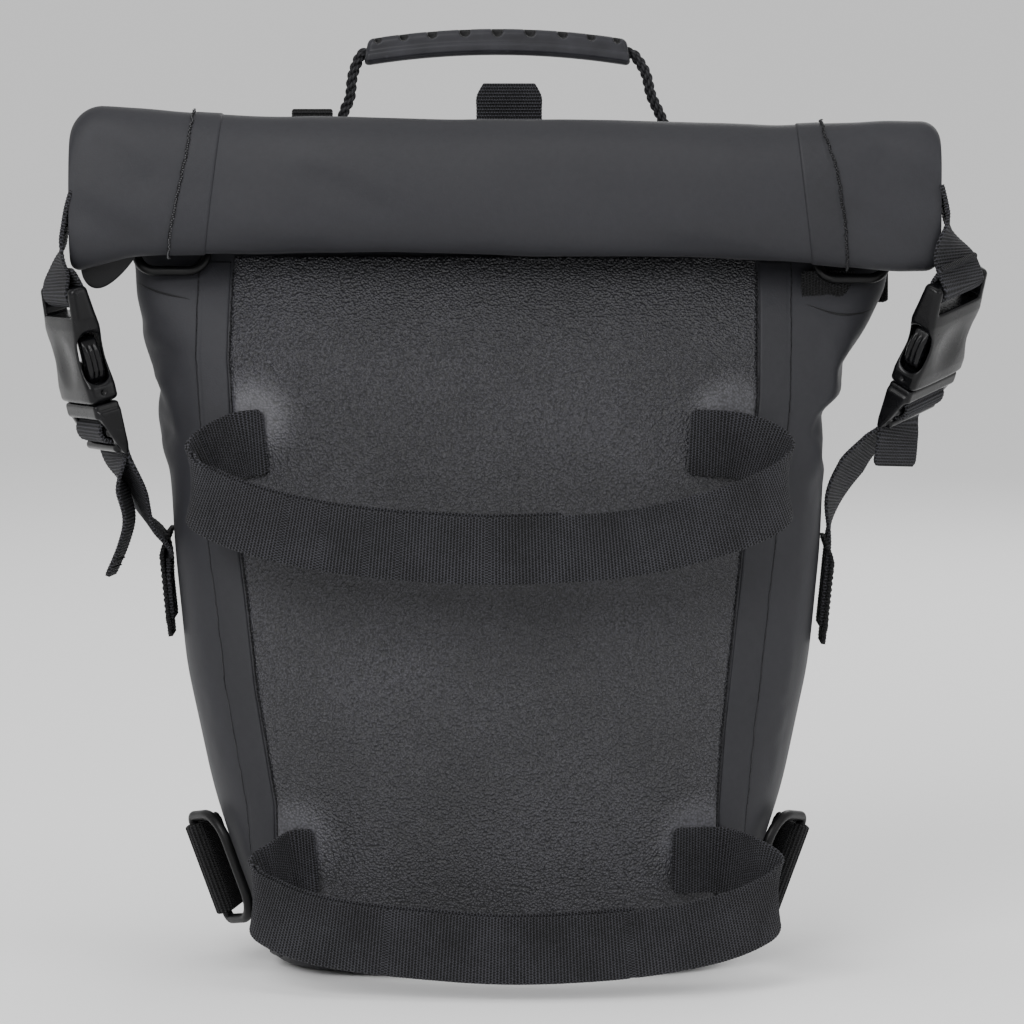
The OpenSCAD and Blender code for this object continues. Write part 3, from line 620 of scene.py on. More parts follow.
def stitch_parts(path, out, pitch=2.3, length=1.7, radius=0.3):
    """Small threads laid end to end along a path, a little sunk into the surface that out points from."""
    path, out = np.asarray(path, float), np.asarray(out, float)
    run = run_along(path)
    parts = []
    for middle in np.arange(pitch / 2, run[-1], pitch):
        rings = []
        for t, r in ((-1, 0.25), (-0.75, 0.8), (0, 1), (0.75, 0.8), (1, 0.25)):
            s = middle + t * length / 2
            at = np.array([np.interp(s, run, path[:, k]) for k in range(3)])
            near = np.array([np.interp(s + 0.2, run, path[:, k]) for k in range(3)])
            up = unit(np.array([np.interp(s, run, out[:, k]) for k in range(3)]))
            along = unit(near - at) if s + 0.2 < run[-1] else unit(path[-1] - path[-2])
            side = unit(np.cross(along, up))
            lift = radius * (0.55 - 0.9 * t * t)
            rings.append([at + up * lift + radius * r * (side * math.cos(a) + up * math.sin(a))
                          for a in np.arange(6) * math.pi / 3])
        parts.append(tube(np.array(rings)))
    return parts


def make_stitches(name, parts, body, slot="webbing", material=THREAD):
    points, faces = joined(parts)
    hand_over(make_piece(name, points, faces, material, weave=points), slot, body)


def make_panel_edges():
    """The fine dark thread laid along each edge of the panel."""
    z = np.linspace(5, 266, 200)
    for side, name in ((-1, "left"), (1, "right")):
        path = near_face(panel_edge(side, z) + side * 0.35, z)
        path[:, 0] += ripple(path * [0, 0, 1], 2.2, 0.3, 6)
        path[:, 1] -= 0.6
        parts = stitch_parts(path, np.tile([0, -1.0, 0], (len(z), 1)), 1.5, 1.4)
        make_stitches("panel_stitches_" + name, parts, "bag")


# ---- Welded seam tapes ----

def tape_piece(name, grid, out, height, body, node_name, bead):
    """A welded tape on a grid of surface points, with a crimped line along the edge at the grid's end.
    Where the line is coarse it is speckled."""
    v = np.linspace(0, 1, grid.shape[1])[None, :]
    edge = np.minimum(np.minimum(v, 1 - v) / 0.05, 1) ** 0.5
    lift = height * (0.25 + 0.75 * edge) - 0.15 * np.exp(-((v - 0.88) / 0.03) ** 2)
    tape = make_piece(name, *slab(grid + out * lift[..., None], grid - out * 0.5), TAPE)
    hand_over(tape, "tape", body, node_name)
    path = grid[:, -2] + out[:, -2] * 0.25
    across = unit(grid[:, -1] - grid[:, -3])
    waver = ripple(grid[:, -2], 1.3, bead * 0.9, 13) + ripple(grid[:, -2], 6, 0.4, 14)
    path = path + across * waver[:, None]
    parts = stitch_parts(path, out[:, -2], bead * 2.2, bead * 2.4, bead)
    make_stitches(name + "_crimp", parts, body, "tape")
    if bead > 0.3:
        specks = path + out[:, -2] * bead * 1.8 + across * ripple(path, 0.8, bead * 1.3, 15)[:, None]
        parts = stitch_parts(specks, out[:, -2], bead * 1.5, bead * 0.9, bead * 0.36)
        make_stitches(name + "_specks", parts, body, "tape", CRIMP)


def beyond_panel(side, z, distance):
    """Points of the bag's outline at one height, at distances round the corner from the panel's edge."""
    angle = np.linspace(math.pi / 2, 0, 500)
    p = 2 / table(NEAR_CORNERS, z)
    x, y = half_w(z) * np.cos(angle) ** p, mid_y(z) - half_d(z) * np.sin(angle) ** p
    run = np.concatenate([[0], np.cumsum(np.hypot(np.diff(x), np.diff(y)))])
    wanted = np.interp(abs(panel_edge(side, z)), x, run) + distance
    x, y = np.interp(wanted, run, x), np.interp(wanted, run, y)
    return np.stack([side * x, y, np.full_like(wanted, z)], -1)


def make_body_tapes():
    heights = np.linspace(4.5, 269, 420)
    v = np.linspace(0, 1, 24)
    for side, name in ((-1, "left"), (1, "right")):
        grid = np.array([beyond_panel(side, z, 1.2 + v * TAPE_W) for z in heights])
        step = np.gradient(grid, axis=1) * side
        out = unit(np.stack([step[..., 1], -step[..., 0], np.zeros(step.shape[:2])], -1))
        tape_piece("body_tape_" + name, grid, out, 0.45, "bag", "body_seam_tape_" + name, 0.27)


# ---- Rolled closure ----

ROLL_X, ROLL_Y = 3, -46
ROLL_HALF = 163
ROLL_THICK = 14.0
ROLL_TOPS = [(-166, 326.5), (-148, 327.2), (-120, 325.2), (-78, 323.4), (-8, 323.2), (60, 321.8),
             (104, 320.8), (140, 321.6), (170, 321.8)]
ROLL_BOTTOMS = [(-166, 262.6), (-156, 264.0), (-138, 268.6), (-120, 269.6), (-60, 270.0), (0, 270.4),
                (75, 268), (112, 266.6), (150, 264.4), (170, 264.4)]
# Radius of each corner of the roll in front view: left and right at the top, then at the bottom
TOP_CORNERS = (11.0, 7.5)
LOW_CORNERS = (4.0, 5.5)
ROLL_TURNS = 2.55
LAYER_GAP = 4.6
LAYER_THICK = 2.5
# Diagonal creases: one end's x and z, the other end's, depth and width
ROLL_CREASES = [((-72, 303), (-38, 288), 0.45, 5), ((-150, 318), (-128, 296), 0.6, 6),
                ((-158, 290), (-132, 276), 0.7, 6), ((140, 312), (166, 292), 0.8, 7),
                ((128, 290), (160, 272), 0.55, 6), ((60, 276), (100, 271), 0.4, 5),
                ((-100, 276), (-60, 273), 0.4, 5)]


def near_line(x, z, a, b, width):
    """How near points are to a line between two places, from 0 to 1, fading at its ends."""
    a, b = np.array(a, float), np.array(b, float)
    d = b - a
    t = ((x - a[0]) * d[0] + (z - a[1]) * d[1]) / (d @ d)
    away = np.abs((x - a[0]) * d[1] - (z - a[1]) * d[0]) / np.linalg.norm(d)
    return np.exp(-(away / width) ** 2) * np.exp(-(np.maximum(np.abs(t - 0.5) - 0.3, 0) / 0.22) ** 2)


def corner_drop(from_end, radius):
    """How far a rounded corner falls away at a distance from the roll's end."""
    return radius - np.sqrt(np.clip(radius ** 2 - np.clip(radius - from_end, 0, None) ** 2, 0, None))


def roll_point(x, turn, inward=0.0):
    """A point of the rolled sheet at x, some turns forward from the top, inward of its outer face."""
    x, turn = np.broadcast_arrays(np.asarray(x, float), np.asarray(turn, float))
    top, low = table(ROLL_TOPS, x), table(ROLL_BOTTOMS, x)
    from_end = np.clip(ROLL_HALF - np.abs(x - ROLL_X), 0, None)
    top = top - corner_drop(from_end, np.where(x < ROLL_X, *TOP_CORNERS))
    low = low + corner_drop(from_end, np.where(x < ROLL_X, *LOW_CORNERS))
    middle, tall = (top + low) / 2, (top - low) / 2
    deeper = LAYER_GAP * np.maximum(turn, 0) + inward
    thick = ROLL_THICK - 2.4 * np.exp(-from_end / 14)
    angle = 2 * math.pi * turn
    c, s = np.cos(angle), np.sin(angle)
    y = ROLL_Y - np.maximum(thick - deeper, 1.0) * np.sign(s) * np.abs(s) ** 0.80
    z = middle + np.maximum(tall - deeper, 3.0) * np.sign(c) * np.abs(c) ** 0.80
    return np.stack([x, y, z], -1)


def roll_face(x, turn, inward=0.0):
    """The rolled sheet with its creases and unevenness."""
    at = roll_point(x, turn, inward)
    ahead = roll_point(x, np.asarray(turn) + 0.002, inward) - at
    out = unit(np.stack([np.zeros(at.shape[:-1]), ahead[..., 2], -ahead[..., 1]], -1))
    outer = 1 - soft_step(np.broadcast_to(turn, at.shape[:-1]), 0.9, 1.1)
    dent = np.zeros(at.shape[:-1])
    in_front = at[..., 1] < ROLL_Y
    for a, b, depth, width in ROLL_CREASES:
        dent -= 1.5 * depth * near_line(at[..., 0], at[..., 2], a, b, width) * in_front
        dent += 0.6 * depth * near_line(at[..., 0], at[..., 2] - width * 1.5, a, b, width) * in_front
    flat = at.reshape(-1, 3)
    wave = (ripple(flat * [1, 1, 1.6], 60, 1.5, 8) + ripple(flat, 22, 0.3, 9)).reshape(dent.shape)
    return at + out * ((dent + wave) * outer)[..., None], out


def make_roll():
    ends = 12 * (1 - np.cos(np.linspace(0, 0.5 * math.pi, 16)))[:-1]
    left, right = ROLL_X - ROLL_HALF, ROLL_X + ROLL_HALF
    x = np.concatenate([left + ends, np.linspace(left + 12, right - 12, 100), right - ends[::-1]])[:, None]
    turn = np.linspace(-0.13, ROLL_TURNS, 260)[None, :]
    outer, _ = roll_face(x, turn)
    inner, _ = roll_face(x, turn, LAYER_THICK)
    roll = make_piece("roll_fabric", *slab(outer, inner), FABRIC)
    hand_over(roll, "fabric", "roll_top", "roll_top")


# Each tape round the roll: x at some heights of its plain edge, then of its crimped edge
ROLL_TAPES = {"left": ([(270, -109.5), (325, -102.5)],
                       [(268, -124.5), (290, -121), (306, -117), (325, -113.5)]),
              "right": ([(268, 118), (300, 114), (322, 111.5)],
                        [(268, 132), (290, 130), (306, 127), (322, 120.5)])}


def make_roll_tapes():
    turn = np.linspace(-0.12, 0.62, 330)[:, None]
    v = np.linspace(0, 1, 24)[None, :]
    for name, (plain, crimped) in ROLL_TAPES.items():
        height = roll_point(table(plain, 296), turn)[..., 2]
        inner, outer = table(plain, height), soft(crimped, height)
        grid, out = roll_face(inner + (outer - inner) * v, turn + 0 * v)
        tape_piece("roll_tape_" + name, grid, out, 0.5, "roll_top", "roll_seam_tape_" + name, 0.62)


def make_dark_tongue():
    """A near-black sheet that hangs below the left end of the roll."""
    u = np.linspace(0, 1, 30)[:, None]
    v = np.linspace(0, 1, 10)[None, :]
    x = -157 + 21 * u + 0 * v
    droop = 1.5 + 11 * np.sin(math.pi * u ** 0.62) ** 0.8
    z = 271 - droop * v + 2 * u
    y = -43 + 3 * v * np.sin(math.pi * u)
    front = np.stack([x, y + 0 * x, z], -1)
    tongue = make_piece("dark_tongue", *slab(front, front + [0, 2.2, 0]), DEEP_BLACK)
    round_off(tongue)
    hand_over(tongue, "fabric", "roll_top")


# ---- Webbing ----

WEB_W, WEB_T = 25.0, 1.6
RIB_RISE = 0.11
STRAP_STEP = 0.3


def strap_axes(path):
    """The directions across a strap and out of its face, at each point of its path."""
    along = unit(np.gradient(path[:, :3], axis=0))
    wide = path[:, 3:6]
    wide = unit(wide - np.sum(wide * along, axis=1, keepdims=True) * along)
    return wide, np.cross(along, wide)


def strap_rings(path, width, thick, pinches=()):
    """Rings of a flat ribbed strap along a path of points, each with its width direction after it.
    Pinches are places along it, in millimetres, where a row of stitches pulls it thin."""
    wide, deep = strap_axes(path)
    run = run_along(path)
    half_width, half_thick = width / 2, thick / 2
    flat = np.linspace(-1, 1, 9) * (half_width - half_thick)
    bends = np.array([-60, 0, 60]) * math.pi / 180
    profile = [(v, 1.0, 0.0) for v in flat]
    profile += [(half_width - half_thick + half_thick * math.cos(a), math.sin(a), 1.0) for a in -bends]
    profile += [(v, -1.0, 0.0) for v in flat[::-1]]
    profile += [(-half_width + half_thick - half_thick * math.cos(a), math.sin(a), 1.0) for a in bends]
    profile = np.array(profile)
    rib = RIB_RISE * np.cos(2 * math.pi * run / RIB_PITCH)[:, None]
    pinch = sum((np.exp(-((run - place) / 1.3) ** 2) for place in pinches), np.zeros(len(run)))[:, None]
    from_end = np.minimum(run, run[-1] - run)[:, None]
    ends = 1 - 0.14 * np.clip(1 - from_end / 2.4, 0, 1) ** 2 - 0.02 * pinch
    if path.shape[1] > 6:
        ends = ends * path[:, 6:7]
    height = profile[None, :, 1] * (half_thick * (1 - 0.4 * pinch) + rib * (1 - 0.5 * profile[None, :, 2]))
    across = profile[None, :, 0] * ends + np.sign(profile[None, :, 0]) * profile[None, :, 2] * rib * 0.6
    rings = path[:, None, :3] + wide[:, None, :] * across[..., None] + deep[:, None, :] * height[..., None]
    weave = np.stack(np.broadcast_arrays(run[:, None], across, pinch), -1)
    return rings, weave


def strap(name, path, body, *nodes, width=WEB_W, thick=WEB_T, material=WEBBING, pinches=()):
    """A ribbed strap along a path, which stands for some nodes and rides on a body if one is given."""
    rings, weave = strap_rings(path, width, thick, pinches)
    piece = make_piece(name, *tube(rings), material, weave=weave.reshape(-1, 3))
    hand_over(piece, "webbing", body, *nodes)
    return piece


def dark_strap(name, path, node_name, width, thick=WEB_T):
    """A strap of darker webbing that is sewn to the bag."""
    strap(name, path, "bag", node_name, width=width, thick=thick, material=DARK_WEBBING)


def with_across(points, across):
    return [tuple(p) + tuple(across) for p in points]


def strap_path(points, across):
    """A smooth path through points, with one width direction."""
    return curve(with_across(points, across), STRAP_STEP)


def twisted(points, across, after, first, last):
    """A path whose width direction turns from one to the other between two distances along it."""
    path = strap_path(points, across)
    share = soft_step(run_along(path), first, last)[:, None]
    path[:, 3:6] = np.asarray(across, float) * (1 - share) + np.asarray(after, float) * share
    return path


def across_lines(path, places, thick, side=1.0):
    """Stitch lines that cross a strap at places along it, on one of its faces."""
    wide, deep = strap_axes(path)
    deep = deep * side
    across = np.linspace(-WEB_W / 2 + 1.5, WEB_W / 2 - 1.5, 12)[:, None]
    parts = []
    for place in places:
        k = int(np.searchsorted(run_along(path), place))
        line = path[k, :3] + wide[k] * across + deep[k] * (thick / 2 + 0.1)
        parts += stitch_parts(line, np.tile(deep[k], (len(line), 1)))
    return parts


# Plans of the two loops as x and distance in front of the panel
UPPER_PLAN = [(-87, 2.4), (-97, 4.2), (-107, 9.6), (-113, 18), (-109, 28), (-86, 38), (-45, 46), (0, 49),
              (45, 46), (80, 38), (102, 28), (108, 18), (103, 9.6), (90, 4.2), (72, 2.4)]
LOWER_PLAN = [(-68, 2.6), (-77, 4.4), (-84, 9.6), (-90, 18), (-86, 28), (-66, 38), (-30, 45), (8, 48),
              (46, 45), (80, 38), (99, 28), (104, 18), (99, 9.6), (86, 4.4), (66, 2.6)]
UPPER_Z, UPPER_DROP, LOWER_Z, LOWER_DROP = 204, 38, 47, 28
LOOP_DEPTH = 48
LOOP_LAYER = 1.3
ROOT_REACH = 9


def loop_controls(plan, z, drop):
    controls = []
    for x, d in plan:
        face = near_face(x, z, 1.4)[1] if d < ROOT_REACH else mid_y(z) - half_d(z)
        controls.append((x, float(face) - d, z - drop * d / LOOP_DEPTH, 0, 0, 1))
    return controls


def inset(path, distance):
    """A path moved in plan towards the inside of its loop."""
    along = np.gradient(path[:, :3], axis=0)
    inward = unit(np.stack([-along[:, 1], along[:, 0], 0 * along[:, 0]], -1))
    moved = path.copy()
    moved[:, :3] += inward * distance
    return moved


def make_loop(name, plan, z, drop, lining_end, sewn):
    """One webbing loop: its band with its roots, the second layer inside it, and the stitching."""
    controls = loop_controls(plan, z, drop)
    path = curve(controls, STRAP_STEP)
    path[:, 2] += ripple(path[:, :3] * [1, 0, 0], 55, 1.3, 11)
    band = strap(name + "_band", path, None, name, name + "_roots", thick=LOOP_LAYER, pinches=sewn)
    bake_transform(band)
    first, last = np.searchsorted(run_along(path), (26, lining_end))
    inner = inset(path, LOOP_LAYER + 0.25)[first:last]
    inner[:, 2] += 1.2 + ripple(inner[:, :3] * [1, 0, 0], 24, 0.5, 12)
    strap(name + "_second_layer", inner, name, name + "_lining", thick=LOOP_LAYER)
    make_stitches(name + "_stitches", across_lines(path, sewn, LOOP_LAYER, -1), name)


def box_stitches(centre, wide, tall, out, width, height):
    """A sewn box with its cross, on a flat patch."""
    centre, wide, tall, out = (np.asarray(v, float) for v in (centre, wide, tall, out))
    a, b = width / 2, height / 2
    corners = [(-a, -b), (a, -b), (a, b), (-a, b), (-a, -b), (a, b)]
    lines = list(zip(corners[:-1], corners[1:])) + [((-a, b), (a, -b))]
    parts = []
    for (x0, z0), (x1, z1) in lines:
        t = np.linspace(0, 1, 10)[:, None]
        line = centre + wide * (x0 + (x1 - x0) * t) + tall * (z0 + (z1 - z0) * t)
        parts += stitch_parts(line, np.tile(out, (10, 1)))
    return parts


# ---- Buckles and their straps ----

BUCKLES = {
    "left": {"mouth": (-153.3, -41.9, 217.2), "up": (-0.222, -0.094, 0.97), "face": (-0.906, -0.423, 0),
             "side": -1, "plug": "plug_left"},
    "right": {"mouth": (162.3, -28.6, 226), "up": (0.234, -0.46, 0.855), "face": (0.766, -0.643, 0),
              "side": 1, "plug": "plug_right"},
}


def buckle_axes(buckle):
    """Rows that turn a point in the buckle's own frame into the bag's: across, out of its face, and up it."""
    up = unit(buckle["up"])
    out = np.asarray(buckle["face"], float)
    out = unit(out - (out @ up) * up)
    return np.stack([np.cross(out, up), out, up])


def in_buckle(buckle, point):
    return np.asarray(buckle["mouth"], float) + np.asarray(point, float) @ buckle_axes(buckle)


PATCH_Y = -13
# Each side's strap as it rises from the patch, and its free tail, in the bag's own coordinates
RISES = {"left": [(-133.8, -23.5, 171), (-138.4, -31.0, 184)],
         "right": [(128.4, -12.8, 177), (135.5, -13, 190.5), (144, -13.4, 200.5)]}
HANGS = {"left": [(-142.0, -38.4, 184), (-139.2, -38.6, 173), (-141.2, -38.6, 163), (-146.2, -38.6, 151)],
         "right": [(152.8, -15.8, 200.5), (151.6, -15.6, 190.5)]}
# How far out of a buckle's face and up it each strap goes: into the plug, folded back out of it, and round
# the socket's bar
INTO_PLUG = [(-5.8, -24), (-5.0, -17), (-3.4, -12), (-1.6, -9), (0.6, -8)]
OUT_OF_PLUG = [(-1.0, -8.2), (1.4, -8.2), (3.0, -9.6), (3.3, -11.8), (2.4, -14.2), (0.2, -15.4),
               (-2.2, -16.6), (-3.7, -19.5), (-4.1, -24)]
ROUND_SOCKET = [(3.3, 43), (2.9, 39.2), (0, 37.2), (-2.9, 39.2), (-3.3, 43), (-2.4, 47), (-1.2, 51)]


def threaded(buckle, places):
    return [in_buckle(buckle, (0, y, z)) for y, z in places]


def strap_turn(buckle):
    """A strap's width direction where it leaves the bag, and where it lies in the buckle."""
    across = buckle_axes(buckle)[0]
    return np.array([0, math.copysign(1, across[1]), 0]), across


def make_side_straps():
    for name, low, tail_end in (("left", 127, (0.08, 1, 0)), ("right", 124, (-0.68, -0.73, 0.06))):
        buckle = BUCKLES[name]
        start, across = strap_turn(buckle)
        route = [side_face(buckle["side"], PATCH_Y, z, 3.0) for z in (low + 6, low + 19, low + 33)]
        route += RISES[name] + threaded(buckle, INTO_PLUG)
        path = twisted(route, start, across, 30, 66)
        rising = strap("side_webbing_" + name, path, None, "side_strap_" + name)
        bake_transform(rising)
        path = twisted(threaded(buckle, OUT_OF_PLUG) + HANGS[name], across, tail_end, 20, 36)
        strap("webbing_tail_" + name, path, buckle["plug"], "strap_tail_" + name)
        end = run_along(path)[-1]
        make_stitches("tail_stitches_" + name, across_lines(path, [end - 4, end - 7], WEB_T), buckle["plug"])
        make_patch(name, buckle["side"], low)


def make_patch(name, side, low):
    """The sewn patch over the lower end of a side strap."""
    z = np.arange(low - 1, low + 40, 0.3)
    rows = side_face(side, PATCH_Y, z, 4.6 + 0 * z)
    rows[:, 0] -= side * 3.2 * soft_step(z, low + 30, low + 40)
    path = np.array(with_across(rows, (0, 1.0, 0)))
    dark_strap("patch_webbing_" + name, path, "side_patch_" + name, 27.5, 1.5)
    middle = side_face(side, PATCH_Y, low + 17, 5.5)
    above = side_face(side, PATCH_Y, low + 27, 5.5)
    parts = box_stitches(middle, [0, 1, 0], unit(above - middle), [side, 0, 0], 20, 26)
    make_stitches("patch_stitches_" + name, parts, "bag")


# Each socket's strap as it leaves the end of the roll, and the two distances between which it turns
DROPS = {"left": ([(-158.8, -45, 297), (-160.8, -45, 290), (-162.2, -45.3, 282), (-163.4, -46, 274),
                   (-164.5, -46.2, 267)], 19, 37),
         "right": ([(166.2, -45, 298), (167.8, -45.4, 291), (169.0, -46.2, 284), (170.4, -47.4, 276),
                    (172.2, -48.6, 269)], 11, 30)}


def make_socket_straps():
    for name, (places, first, last) in DROPS.items():
        buckle = BUCKLES[name]
        path = twisted(places + threaded(buckle, ROUND_SOCKET), *strap_turn(buckle), first, last)
        strap("socket_strap_" + name, path, "roll_top", "socket_webbing_" + name)


def socket_shape(x, y, z):
    """A side-release socket: waisted at its two windows, with a slot and a bar for webbing at its top."""
    wide = np.interp(z, [-1, 2, 6, 10, 14, 17, 20, 24, 28, 32, 45],
                     [16.4, 16.9, 16.7, 15.3, 14.1, 13.8, 14.1, 15.3, 16.7, 17, 16.8])
    thick = np.interp(z, [-1, 1, 6, 16, 29, 34, 45], [5.9, 6.3, 6.4, 5.9, 5.9, 5.2, 4.1])
    body = both(2.2, np.abs(x) - wide, np.abs(y) - thick + 0.9 * (x / 17) ** 4, z - 44.5, -z)
    cavity = both(0.8, np.abs(x) - 14.6, np.abs(y) - 3.9, z - 28, -3 - z)
    window = both(0.8, np.hypot(y, np.clip(np.abs(z - 17) - 5.4, 0, None)) - 4.3, 9 - np.abs(x))
    slot = both(0.8, np.abs(x) - 13.5, np.abs(z - 36.6) - 2.8)
    relief = both(0.8, np.abs(x) - 13.5, 2.3 - np.abs(y), 38.0 - z)
    thumb = np.sqrt(x ** 2 + (np.abs(y) - 45) ** 2 + (z - 17) ** 2) - 39.9
    dimple = np.sqrt((np.abs(x) - 17.2) ** 2 + y ** 2 + (z - 3.8) ** 2) - 1.1
    holes = ((thumb, 0.8), (cavity, 0.6), (window, 1.8), (slot, 1.0), (relief, 1.0), (dimple, 0.3))
    for hole, round_by in holes:
        body = both(round_by, body, -hole)
    return body


def plug_shape(x, y, z):
    """A side-release plug: a head that closes the socket, and slanting rails with two bars for webbing."""
    head = both(1.6, np.abs(x) - 15.9, np.abs(y + 0.3) - 5.2, z + 0.3, -6.2 - z)
    slant = np.interp(z, [-21, -6, 0], [-3.6, -0.9, -0.3])
    deep = np.interp(z, [-21, -17, -6, 0], [0.9, 2.2, 4.4, 5.0])
    rails = both(1.2, np.abs(np.abs(x) - 15.0) - 1.9, np.abs(y - slant) - deep, z + 3, -21 - z)
    end_bar = both(0.8, np.hypot(y + 1.0, z + 18.2) - 1.7, np.abs(x) - 15)
    bar = both(0.8, np.hypot(y - 0.6, z + 11.8) - 1.5, np.abs(x) - 15)
    tongue = both(0.8, np.abs(x) - 4.5, np.abs(y) - 1.2, z - 15, -3 - z)
    roots = both(0.6, np.abs(np.abs(x) - 11.4) - 1.5, np.abs(y) - 2.7, z - 1.5, -3 - z)
    return either(0.8, head, rails, end_bar, bar, tongue, roots)


def prong_shape(x, y, z):
    """A springy prong with a ridged locking shoulder, on the side of +x."""
    outer = 11.4 + np.interp(z, [0, 7.6, 9.6, 12, 16, 20, 24, 26], [1.5, 1.5, 3.4, 4.6, 4.8, 4.2, 2.0, 0.2])
    outer = outer + 0.3 * np.cos(2 * math.pi * y / 2.0) * soft_step(z, 9, 11) * (1 - soft_step(z, 21, 23))
    return both(1.0, 9.9 - x, x - outer, np.abs(y) - 3.2, z - 25.6, 0.6 - z)


def make_buckles():
    socket = moulded(socket_shape, (-17.5, -7, -0.5), (17.5, 7, 45))
    plug = moulded(plug_shape, (-17.5, -7.5, -21.5), (17.5, 7, 15.5), 0.42)
    prong = moulded(prong_shape, (9.5, -3.6, 0.2), (17, 3.6, 26), 0.3)
    for name, buckle in BUCKLES.items():
        near = 1 if buckle_axes(buckle)[0][1] < 0 else -1
        pieces = [("socket", socket, 1, "buckle_socket_" + name, "roll_top"),
                  ("plug", plug, 1, "buckle_plug_" + name, buckle["plug"])]
        for which, side in (("near", near), ("far", -near)):
            prong_body = f"prong_{name}_{which}"
            pieces.append(("prong_" + which, prong, side, prong_body, prong_body))
        for label, (points, faces), side, node_name, body in pieces:
            placed = in_buckle(buckle, points * [side, 1, 1])
            piece = make_piece(f"{label}_{name}_mould", placed, faces, PLASTIC)
            hand_over(piece, "plastic", body, node_name)


def dress(node_name, material):
    part = NODES[node_name]
    part.data.materials.clear()
    part.data.materials.append(material)


# ---- D-rings and their tabs ----

UPPER_RINGS = {"left": (-123, -27.6, 280.4), "right": (134, -27.6, 277.5)}
LOWER_AT = (110, -20, 36.5)
LOWER_TURNS = [(20, "Y"), (-28, "Z"), (90, "Z"), (90, "Y"), (-44, "X")]
TAB_R = 3.8 / 2 + 0.3 + WEB_T / 2


def tab_controls(length):
    """A strap folded round a bar at the origin, with its two ends laid together, width along X."""
    points = [(0, TAB_R, length), (0, TAB_R, length * 0.5)]
    points += [(0, TAB_R * math.cos(a), -TAB_R * math.sin(a)) for a in np.radians(range(0, 181, 30))]
    points += [(0, -TAB_R, 3), (0, -TAB_R * 0.4, length * 0.5), (0, -TAB_R + 2.1, length)]
    return np.array(points, float)


def make_ring_tabs():
    for side, at in UPPER_RINGS.items():
        path = strap_path(tab_controls(20) + at, (1, 0, 0))
        dark_strap("upper_ring_webbing_" + side, path, "ring_tab_upper_" + side, 22.0)
    turn = Matrix.Identity(3)
    for degrees, axis in LOWER_TURNS:
        turn = turn @ Matrix.Rotation(math.radians(degrees), 3, axis)
    turn = np.array(turn)
    for side, sign in (("left", -1), ("right", 1)):
        flip = np.array([sign, 1, 1])
        path = strap_path((tab_controls(19) @ turn.T + LOWER_AT) * flip, (turn @ np.array([1, 0, 0])) * flip)
        dark_strap("lower_ring_webbing_" + side, path, "ring_tab_lower_" + side, 36.0)


# ---- Carry handle ----

GRIP_L, GRIP_RISE, GRIP_TOP, GRIP_H = 100, 4, 357, 10
GRIP_RADIUS = (GRIP_L / 2) ** 2 / (2 * GRIP_RISE)
HANDLE_Y, HANDLE_Z = -8, 314
ROPE_R = 2.2
LEFT_LEG = [(-75, 314), (-66, 314), (-60.8, 314.2), (-59.2, 319), (-58.6, 325), (-56.2, 331), (-55.2, 339),
            (-52.6, 346)]
RIGHT_LEG = [(53.0, 346), (56.6, 340), (58.6, 332), (61.8, 325), (64.6, 319), (67.8, 314.8), (72, 314),
             (82, 314)]
# Middle of each finger slot along the grip, and half its width
SLOTS = [(-45.4, 1.2), (-35.6, 1.5), (-24.8, 1.7), (-12.4, 1.9), (0, 1.95), (12.4, 1.9), (24.8, 1.7),
         (35.6, 1.5), (45.4, 1.2)]


def grip_arc(x):
    """Height of the grip's middle line at x."""
    return GRIP_TOP - GRIP_H / 2 - GRIP_RADIUS + np.sqrt(GRIP_RADIUS ** 2 - np.asarray(x, float) ** 2)


def make_rope():
    """Three strands laid round each other, from one anchor through the grip to the other."""
    route = [(x, HANDLE_Y, z) for x, z in LEFT_LEG]
    route += [(x, HANDLE_Y, float(grip_arc(x))) for x in range(-50, 51, 10)]
    route += [(x, HANDLE_Y, z) for x, z in RIGHT_LEG]
    path = curve(route, 0.5)
    along = unit(np.gradient(path, axis=0))
    side = np.tile([0, 1.0, 0], (len(path), 1))
    other = np.cross(along, side)
    run = np.arange(len(path)) * 0.5
    lay, strand_r, sides = 9.5, 1.16, 10
    parts, weave = [], []
    for strand in range(3):
        phase = 2 * math.pi * (run / lay + strand / 3)
        middle = path + (side * np.cos(phase)[:, None] + other * np.sin(phase)[:, None]) * (ROPE_R - strand_r)
        angle = np.arange(sides) * 2 * math.pi / sides
        rings = middle[:, None] + strand_r * (side[:, None] * np.cos(angle)[None, :, None]
                                              + other[:, None] * np.sin(angle)[None, :, None])
        parts.append(tube(rings))
        weave.append(np.stack(np.broadcast_arrays(run[:, None], angle[None, :], 0.0), -1).reshape(-1, 3))
    rope = make_piece("twisted_rope", *joined(parts), ROPE, weave=np.concatenate(weave))
    hand_over(rope, "rope", "handle", "handle_rope")


def slot_space(x, y, z):
    """The finger slots, cut from above into the near half of the grip."""
    height, deep = z - grip_arc(x), y - HANDLE_Y
    below = np.clip(4.1 - height, 0, None)
    return np.min([both(0.5, np.hypot(x - at, below) - wide, deep - 2.0) for at, wide in SLOTS], axis=0)


def grip_shape(x, y, z):
    """A bowed bar with a lip along its lower half, a rope hole at each end and finger slots."""
    height, deep = z - grip_arc(x), np.abs(y - HANDLE_Y)
    end = np.abs(x) + 0.16 * height - 50
    bar = both(2.4, deep - 6.0, np.abs(height) - 5, end)
    lip = both(1.0, deep - 6.9, np.abs(height + 1.9) - 1.7, end + 0.4)
    bore = both(0.4, np.hypot(deep, height) - 2.7, 44 - np.abs(x))
    return both(0.5, either(0.8, bar, lip), -bore, -slot_space(x, y, z))


